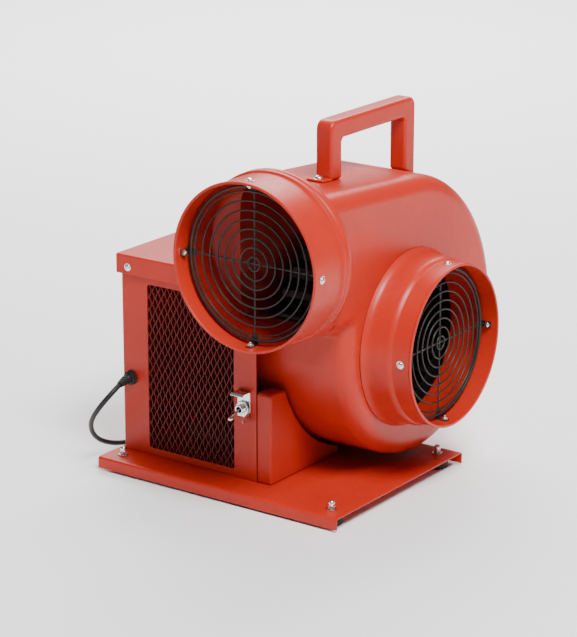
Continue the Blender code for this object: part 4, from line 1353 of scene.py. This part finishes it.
@dataclass
class DuctCollar:
    """A duct collar with its finger guard and guard screws."""

    node: str
    guard: str
    axis: Axis
    outward: int
    profile: Callable[[float, float], list[tuple[float, float]]]
    rings: int = 8
    ring_pitch: float = 0.0112
    wire: float = 0.0011
    outer_wire: float = 0.0019
    screw_inset: float = 0.0145
    bore: float = 0.0990

    def build(self) -> None:
        """Make the collar, its guard and its screws."""
        low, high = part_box(self.node)
        centre = (low + high) / 2
        index = self.axis.value
        rim, root = (high[index], low[index]) if self.outward > 0 else (low[index], high[index])
        others = [centre[k] for k in range(3) if k != index]
        spun = Shape().turn(self.profile(root, rim), self.axis, others, 144)
        collar = make_object(f"{self.node}_spun", spun)
        dress(collar, ENAMEL, stands_for=[self.node], sharp=28)
        self._guard(others, rim)
        self._screws(others, rim)

    def _guard(self, centre: Point, rim: float) -> None:
        """Make the guard's rings, spokes and clips."""
        low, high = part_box(self.guard)
        index = self.axis.value
        plane = low[index] + 0.0015 if self.outward < 0 else high[index] - 0.0015
        tree = NodeTree(
            f"{self.guard}_rings",
            Wire=self.wire,
            First=self.ring_pitch * 0.75,
            Pitch=self.ring_pitch,
            Rings=self.rings,
            Finish=GUARD_WIRE.material(),
        )
        points = tree.add("GeometryNodeMeshLine", {"Count": "Rings"})
        points.inputs["Offset"].default_value = (0.0, 0.0, 0.0)
        circle = tree.add("GeometryNodeCurvePrimitiveCircle", {"Resolution": 72, "Radius": 1.0})
        index_node = tree.add("GeometryNodeInputIndex").outputs[0]
        size = tree.maths("ADD", "First", tree.maths("MULTIPLY", index_node, "Pitch"))
        spread = tree.add(
            "GeometryNodeInstanceOnPoints",
            {"Points": points.outputs[0], "Instance": circle.outputs[0], "Scale": size},
        )
        loose = tree.add("GeometryNodeRealizeInstances", {"Geometry": spread.outputs[0]})
        section = tree.add("GeometryNodeCurvePrimitiveCircle", {"Resolution": 8, "Radius": "Wire"})
        along = {"Curve": loose.outputs[0], "Profile Curve": section.outputs[0]}
        tube = tree.add("GeometryNodeCurveToMesh", along)
        rings = tree.bake(f"{self.guard}_rings", tube.outputs[0])
        for vertex in rings.data.vertices:
            u, v, w = vertex.co
            vertex.co = self.axis.point(plane + w, centre[0] + u, centre[1] + v)
        work = bmesh.new()
        work.from_mesh(rings.data)
        bmesh.ops.recalc_face_normals(work, faces=work.faces)
        work.to_mesh(rings.data)
        work.free()
        dress(rings, GUARD_WIRE, stands_for=[self.guard])
        self._spokes(centre, plane, rim)

    def _spokes(self, centre: Point, plane: float, rim: float) -> None:
        """Make the crossed spokes, whose ends bend forward along the collar's wall to the screws."""
        behind = plane - self.outward * self.wire * 1.6
        screw = rim - self.outward * self.screw_inset
        reach = self.bore - self.wire - 0.0004
        bend = 0.004
        shape = Shape()
        for u, v in ((1, 0), (0, 1)):
            path = []
            for sign in (-1, 1):
                leg = [(sign * reach, screw + self.outward * 0.003)]
                leg.append((sign * reach, behind + self.outward * bend))
                leg.append((sign * (reach - bend * 0.3), behind + self.outward * bend * 0.3))
                leg.append((sign * (reach - bend), behind))
                path += leg if sign < 0 else list(reversed(leg))
            line = [self.axis.point(along, centre[0] + u * r, centre[1] + v * r) for r, along in path]
            shape.sweep(line, self.wire, 10)
        ring = [(0.0925 + u, plane + v) for u, v in arc((0, 0), self.outer_wire, 0, 324, 9)]
        shape.turn(ring, self.axis, centre, 96)
        spokes = make_object(f"{self.guard}_spokes", shape)
        dress(spokes, GUARD_WIRE)
        clips = Shape()
        wide, thick = 0.0042, 0.0009
        for turn in range(4):
            angle = math.pi / 2 * turn
            c, s = math.cos(angle), math.sin(angle)

            def corner(radial: float, across: float, along: float) -> tuple[float, float, float]:
                first, second = radial * c - across * s, radial * s + across * c
                return self.axis.point(along, centre[0] + first, centre[1] + second)

            outer = self.bore - 0.0003
            ends = (screw + self.outward * 0.005, behind)
            rows = []
            for radial, along in (
                (outer, ends[0]),
                (outer, ends[1]),
                (outer - 0.014, ends[1]),
                (outer - 0.014, ends[1] + self.outward * thick),
                (outer - thick, ends[1] + self.outward * thick),
                (outer - thick, ends[0]),
            ):
                rows.append([corner(radial, -wide, along), corner(radial, wide, along)])
            count = len(rows)
            verts = [row[0] for row in rows] + [row[1] for row in rows]
            faces = [tuple(range(count)), tuple(range(count, 2 * count))]
            faces += [(k, (k + 1) % count, count + (k + 1) % count, count + k) for k in range(count)]
            clips.add(verts, faces)
        tabs = make_object(f"{self.guard}_clips", clips)
        soften(tabs, 0.0003, 1)
        dress(tabs, GUARD_WIRE, sharp=40)

    def _screws(self, centre: Point, rim: float) -> None:
        """Make the domed heads outside the collar and the nuts inside it."""
        along = rim - self.outward * self.screw_inset
        heads, nuts = [], []
        for turn in range(4):
            angle = math.pi / 2 * turn
            c, s = math.cos(angle), math.sin(angle)
            out = self.axis.point(0.0, c, s)
            outside, inside = 0.1017, self.bore - 0.0012
            heads.append((self.axis.point(along, centre[0] + outside * c, centre[1] + outside * s), out))
            place = self.axis.point(along, centre[0] + inside * c, centre[1] + inside * s)
            nuts.append((place, [-n for n in out]))
        nodes = [f"{self.node}_screw_{spot}" for spot in ("top", "bottom", "near", "far")]
        screws = copies(f"{self.node}_heads", domed_screw(0.0038, 0.0024, 0.0050), heads, ZINC)
        dress(screws, ZINC, stands_for=nodes, sharp=30)
        dress(copies(f"{self.node}_nuts", lock_nut(0.0044, 0.0042), nuts, ZINC), ZINC, sharp=30)


def inlet_profile(root: float, rim: float) -> list[tuple[float, float]]:
    """Return the inlet collar's section: a spun root, a fold and a plain collar with a rolled rim.

    Args:
        root: Where it meets the housing.
        rim: Where it ends.

    Returns:
        Points of (radius, distance along the axis).
    """
    bore, outer = 0.0990, 0.1016
    line = [(bore, root), (0.1123, root), (0.1125, root + 0.0012), (0.1108, root + 0.0030)]
    line += [(0.1085, root + 0.0055), (0.1070, root + 0.0090), (0.1062, root + 0.0150)]
    line += [(0.1058, root + 0.0240), (0.1054, root + 0.0320), (0.1047, root + 0.0352)]
    line += [(0.1030, root + 0.0378), (0.1019, root + 0.0392)]
    line += [(outer, root + 0.0412), (outer, root + 0.050), (outer, rim - 0.0032)]
    line += [(outer + 0.0006, rim - 0.0024), (outer + 0.0009, rim - 0.0014), (outer + 0.0006, rim - 0.0004)]
    return line + [(outer - 0.0004, rim), (bore + 0.0007, rim), (bore, rim - 0.0008), (bore, rim - 0.030)]


def outlet_profile(root: float, rim: float) -> list[tuple[float, float]]:
    """Return the outlet collar's section: a double bead at its root and a plain collar.

    Args:
        root: Where it meets the adapter.
        rim: Where it ends.

    Returns:
        Points of (radius, distance along the axis).
    """
    bore, outer = 0.0990, 0.1016
    line = [(bore, root), (0.1040, root), (0.1047, root - 0.0010), (0.1050, root - 0.0028)]
    line += [(0.1048, root - 0.0048), (0.1041, root - 0.0064), (0.1035, root - 0.0075)]
    line += [(0.1040, root - 0.0088), (0.1047, root - 0.0104), (0.1048, root - 0.0122)]
    line += [(0.1043, root - 0.0138), (0.1030, root - 0.0150)]
    line += [(0.1019, root - 0.0157), (outer, root - 0.0168), (outer, root - 0.030), (outer, rim + 0.0032)]
    line += [(outer + 0.0006, rim + 0.0024), (outer + 0.0009, rim + 0.0014), (outer + 0.0006, rim + 0.0004)]
    return line + [(outer - 0.0004, rim), (bore + 0.0007, rim), (bore, rim + 0.0008), (bore, rim + 0.030)]


@dataclass
class OutletAdapter:
    """The short flared piece between the housing's mouth and the outlet collar."""

    power: float = 0.30
    ring_radius: float = 0.1038
    wall: float = 0.0025
    sides: int = 144
    steps: int = 10

    def build(self, housing: ScrollHousing) -> None:
        """Make the adapter.

        Args:
            housing: The scroll housing that it leaves from.
        """
        low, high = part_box("outlet_adapter")
        collar = middle("outlet_collar")
        mid = Vector(((housing.front + housing.back) / 2, (housing.mouth_top + housing.mouth_bottom) / 2))
        half = Vector(((housing.front - housing.back) / 2, (housing.mouth_top - housing.mouth_bottom) / 2))
        loops = []
        for inset, row in ((0.0, range(self.steps + 1)), (self.wall, range(self.steps, -1, -1))):
            for k in row:
                share = math.sin(math.pi / 2 * k / self.steps)
                y = high.y + (low.y - high.y) * k / self.steps
                loop = []
                for n in range(self.sides):
                    turn = 2 * math.pi * n / self.sides
                    c, s = math.cos(turn), math.sin(turn)
                    flat_x = mid.x + (half.x - inset) * math.copysign(abs(c) ** self.power, c)
                    flat_z = mid.y + (half.y - inset) * math.copysign(abs(s) ** self.power, s)
                    round_x = collar.x + (self.ring_radius - inset) * c
                    round_z = collar.z + (self.ring_radius - inset) * s
                    loop.append((flat_x + (round_x - flat_x) * share, y, flat_z + (round_z - flat_z) * share))
                loops.append(loop)
        piece = make_object("mouth_adapter", Shape().loft(loops, closed=True))
        dress(piece, ENAMEL, stands_for=["outlet_adapter"], sharp=40)


@dataclass
class CarryHandle:
    """The moulded carrying handle with its feet and bolts."""

    tab: float = 0.018
    plate: float = 0.003
    corner: float = 0.012
    inner: float = 0.006
    edge: float = 0.0045

    def build(self, housing: ScrollHousing) -> None:
        """Make the handle and its bolts.

        Args:
            housing: The scroll housing that it stands on.
        """
        low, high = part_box("carry_handle")
        near, far = low.y + self.tab, high.y - self.tab
        bar = high.x - low.x
        gap = 0.0003

        def seat(y: float) -> float:
            return housing.top(y) + gap

        points = arc((near + self.corner, high.z - self.corner), self.corner, 180, 90, 6)
        points += arc((far - self.corner, high.z - self.corner), self.corner, 90, 0, 6)
        points += [(far, seat(far)), (far - bar / 2, seat(far - bar / 2)), (far - bar, seat(far - bar))]
        under = high.z - bar
        points += arc((far - bar - self.inner, under - self.inner), self.inner, 0, 90, 4)
        points += arc((near + bar + self.inner, under - self.inner), self.inner, 90, 180, 4)
        points += [(near + bar, seat(near + bar)), (near, seat(near))]
        arch = make_object("handle_arch", Shape().extend(points, Axis.X, low.x, high.x))
        soften(arch, self.edge, 4, 60)
        dress(arch, ENAMEL, stands_for=["carry_handle"], sharp=60)
        feet = Shape()
        for start, end in ((near - self.tab, near + 0.003), (far - 0.003, far + self.tab)):
            steps = [start + (end - start) * k / 6 for k in range(7)]
            outline = [(y, seat(y)) for y in steps] + [(y, seat(y) + self.plate) for y in reversed(steps)]
            feet.extend(outline, Axis.X, low.x, high.x)
        tabs = make_object("handle_feet", feet)
        soften(tabs, 0.0009, 2)
        dress(tabs, ENAMEL, sharp=50)
        bolts = ["handle_bolt_near", "handle_bolt_far"]
        places = []
        for y in (near - self.tab / 2, far + self.tab / 2):
            up = Vector((0, 0, 1))
            if y > housing.axis[0]:
                up = Vector((0, y - housing.axis[0], seat(y) - housing.axis[1])).normalized()
            places.append((Vector((middle(bolts[0]).x, y, seat(y))) + up * self.plate, up))
        head = domed_screw(0.0052, 0.0032, 0.0070)
        dress(copies("handle_bolts", head, places, ZINC), ZINC, stands_for=bolts, sharp=30)


@dataclass
class FanDrive:
    """The fan wheel on its shaft, and the motor that turns it."""

    blades: int = 24
    rim_radius: float = 0.118
    eye_radius: float = 0.098
    back: float = 0.010
    front: float = 0.116

    def build(self) -> None:
        """Make the wheel and dress the motor."""
        self._wheel()
        dress_node(STEEL, "motor_shaft", "shaft_bearing_front", "shaft_bearing_rear")
        dress_node(STEEL, "motor_front_bell", "motor_rear_bell")
        dress_node(CORE, "motor_stator", "rotor_core")
        dress_node(GREY, "motor_stand")
        dress_node(PLASTIC, "start_capacitor")
        self._motor_shell()

    def _wheel(self) -> None:
        """Make the wheel's discs and hub, and its blades."""
        axis = middle("motor_shaft").yz
        back, front = self.back, self.front
        disc = [(0.0079, back - 0.006), (0.0190, back - 0.006), (0.0200, back - 0.005), (0.0200, back)]
        rim, eye = self.rim_radius, self.eye_radius
        disc += [(rim - 0.001, back), (rim, back + 0.001), (rim - 0.001, back + 0.002)]
        disc += [(0.030, back + 0.002), (0.0225, back + 0.006), (0.0185, back + 0.014)]
        disc.append((0.0180, back + 0.032))
        disc += [(0.0170, back + 0.033), (0.0079, back + 0.033)]
        shape = Shape().turn(disc, Axis.X, axis, 96)
        ring = [(eye, front - 0.0014), (eye + 0.002, front - 0.002), (rim, front - 0.002)]
        ring += [(rim, front), (eye + 0.002, front), (eye, front - 0.0006)]
        shape.turn(ring, Axis.X, axis, 96)
        hub = make_object("wheel_discs", shape)
        dress(hub, WHEEL_BLACK, ROTOR_BODY, ["fan_wheel"], 30)
        inner, outer = self.eye_radius + 0.001, self.rim_radius - 0.001
        steps = 7
        skin = []
        for side in (-0.0006, 0.0006):
            order = range(steps + 1) if side < 0 else range(steps, -1, -1)
            for k in order:
                share = k / steps
                radius = inner + (outer - inner) * share
                turn = 0.20 * share**1.6 + side / radius
                skin.append((radius * math.sin(-turn), radius * math.cos(turn)))
        blade = Shape().extend(skin, Axis.X, back + 0.001, front - 0.001)
        spots = []
        for k in range(self.blades):
            turn = 2 * math.pi * k / self.blades
            spots.append(((0.0, *axis), (0.0, math.cos(turn), math.sin(turn))))
        dress(copies("wheel_blades", blade, spots, WHEEL_BLACK, Facing.ROUND_X), WHEEL_BLACK, ROTOR_BODY)

    def _motor_shell(self) -> None:
        """Make the motor's ribbed shell."""
        low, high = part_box("motor_shell")
        mid = (low + high) / 2
        outer = (high.y - low.y) / 2
        profile = [(outer - 0.0033, low.x), (outer - 0.0010, low.x)]
        for k in range(16):
            x = low.x + 0.003 + 0.0046 * k
            profile += [(outer - 0.0012, x), (outer, x + 0.0007)]
            profile += [(outer, x + 0.0017), (outer - 0.0012, x + 0.0024)]
        profile += [(outer - 0.0010, high.x), (outer - 0.0033, high.x)]
        shell = make_object("motor_case", Shape().turn(profile, Axis.X, (mid.y, mid.z), 96))
        dress(shell, GREY, stands_for=["motor_shell"], sharp=30)


@dataclass
class ToggleSwitch:
    """The toggle switch on the front panel: bushing, nut, guard strip and bat lever."""

    nut_radius: float = 0.0098
    strip: float = 0.0012

    def build(self) -> None:
        """Make the switch's pieces."""
        low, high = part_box("switch_bushing")
        mid = (low + high) / 2
        profile = [(0.0038, high.y), (0.0058, high.y)]
        thread, pitch = high.y, 0.0008
        while thread > low.y + 0.001:
            profile += [(0.0058, thread), (0.0054, thread - pitch / 2)]
            thread -= pitch
        profile += [(0.0056, low.y + 0.0004), (0.0052, low.y), (0.0042, low.y), (0.0038, low.y + 0.0004)]
        bushing = make_object("switch_thread", Shape().turn(profile, Axis.Y, (mid.x, mid.z), 40))
        dress(bushing, ZINC, stands_for=["switch_bushing"], sharp=60)
        nut_low, nut_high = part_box("switch_nut")
        nut = hexagon(self.nut_radius, 0.0, nut_high.y - nut_low.y, 0.0005)
        places = [Vector((mid.x + v.x, nut_high.y - v.z, mid.z + v.y)) for v in nut.verts]
        bored = make_object("switch_hex", Shape(places, nut.faces))
        carve(bored, [Shape().rod(0.0059, (low.y, high.y), Axis.Y, (mid.x, mid.z))])
        dress(bored, ZINC, stands_for=["switch_nut"], sharp=30)
        self._guard(mid)
        self._lever()
        dress_node(PLASTIC, "switch_body")

    def _guard(self, mid: Vector) -> None:
        """Make the bent strip that shields the lever.

        Args:
            mid: The middle of the bushing.
        """
        low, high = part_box("switch_guard")
        back = high.y - self.strip
        shelf, lip = high.z, low.z
        line = [(low.y, shelf - 0.003), (low.y + 0.003, shelf)]
        line += [(back + self.strip, shelf), (back + self.strip, lip + 0.004)]
        outline = folded(line, -self.strip, 0.0024)
        strip = make_object("switch_shield", Shape().extend(outline, Axis.X, low.x, high.x))
        cheek = [(high.y, lip), (high.y, lip + 0.012), (low.y + 0.004, lip + 0.009)]
        cheek += [(low.y, lip + 0.003), (low.y + 0.002, lip)]
        side = Shape().extend(cheek, Axis.X, high.x - self.strip, high.x)
        carve(strip, [Shape().rod(0.0060, (low.y, high.y + 0.01), Axis.Y, (mid.x, mid.z))])
        soften(strip, 0.0003, 1)
        dress(strip, ZINC, stands_for=["switch_guard"], sharp=40)
        cheek = make_object("switch_cheek", side)
        soften(cheek, 0.0004, 2)
        dress(cheek, ZINC, sharp=40)

    def _lever(self) -> None:
        """Make the bat lever."""
        pivot = Vector(next(j["pos_m"] for j in frame["joints"] if j["name"] == "switch_throw"))
        out = Vector((0.0, -math.cos(math.radians(20)), -math.sin(math.radians(20))))
        stations = ((-0.002, 0.0016), (0.004, 0.0018), (0.010, 0.0021), (0.0150, 0.0027), (0.0185, 0.0032))
        stations += ((0.0205, 0.0032), (0.0220, 0.0026), (0.0228, 0.0016), (0.0230, 0.0002))
        path = [tuple(pivot + out * reach) for reach, _ in stations]
        lever = make_object("bat_lever", Shape().sweep(path, [r for _, r in stations], 24))
        dress(lever, ZINC, TOGGLE_BODY, ["switch_lever"], 50)


@dataclass
class Studio:
    """The pale floor, the soft lights and the camera."""

    floor_size: float = 16.0
    camera_place: Point = (1.7135, -2.4379, 1.1194)
    camera_target: Point = (-0.0088, -0.0323, 0.1981)
    lens: float = 140.5

    def build_camera(self) -> None:
        """Make the camera."""
        data = bpy.data.cameras.new("view")
        data.lens = self.lens
        data.sensor_width = 36.0
        camera = bpy.data.objects.new("view", data)
        camera.location = self.camera_place
        way = Vector(self.camera_target) - Vector(self.camera_place)
        camera.rotation_euler = way.to_track_quat("-Z", "Y").to_euler()
        bpy.context.scene.collection.objects.link(camera)
        bpy.context.scene.camera = camera

    def build(self) -> None:
        """Make the floor, the world and the lights."""
        half = self.floor_size / 2
        corners = [Vector((x, y, 0)) for x, y in ((-half, -half), (half, -half), (half, half), (-half, half))]
        floor = make_object("floor", Shape(corners, [(0, 1, 2, 3)]))
        paper = bpy.data.materials.new("paper")
        paper.use_nodes = True
        shader = paper.node_tree.nodes["Principled BSDF"]
        shader.inputs["Base Color"].default_value = (0.93, 0.93, 0.93, 1.0)
        shader.inputs["Roughness"].default_value = 0.9
        floor.data.materials.append(paper)
        world = bpy.data.worlds.new("studio")
        world.use_nodes = True
        world.node_tree.nodes["Background"].inputs["Color"].default_value = (1.0, 1.0, 1.0, 1.0)
        world.node_tree.nodes["Background"].inputs["Strength"].default_value = 0.20
        bpy.context.scene.world = world
        self._light("backdrop", (-1.7, 2.4, 2.4), 3.0, 280.0, (-1.7, 2.4, 0.0))
        self._light("key", (1.6, -0.9, 2.8), 1.1, 185.0, self.camera_target)
        self._light("front", (-1.4, -2.6, 0.9), 1.6, 5.0, self.camera_target)

    @staticmethod
    def _light(name: str, place: Point, size: float, power: float, aim: Point) -> None:
        """Make a square soft light.

        Args:
            name: The light's name.
            place: Where it hangs.
            size: The length of its side.
            power: Its power in watts.
            aim: The place that it looks at.
        """
        data = bpy.data.lights.new(name, "AREA")
        data.size = size
        data.energy = power
        light = bpy.data.objects.new(name, data)
        light.location = place
        light.rotation_euler = (Vector(aim) - Vector(place)).to_track_quat("-Z", "Y").to_euler()
        bpy.context.scene.collection.objects.link(light)


def main() -> None:
    """Build the studio and every sub-assembly, in order."""
    logging.basicConfig(level=logging.INFO, format="%(name)s: %(message)s")
    studio = Studio()
    studio.build_camera()
    SupplyCord().build()
    BasePlate().build()
    MotorBox().build()
    housing = ScrollHousing()
    housing.build()
    DuctCollar("inlet_collar", "inlet_guard", Axis.X, 1, inlet_profile).build()
    DuctCollar("outlet_collar", "outlet_guard", Axis.Y, -1, outlet_profile).build()
    OutletAdapter().build(housing)
    CarryHandle().build(housing)
    FanDrive().build()
    ToggleSwitch().build()
    studio.build()


if __name__ == "__main__":
    main()
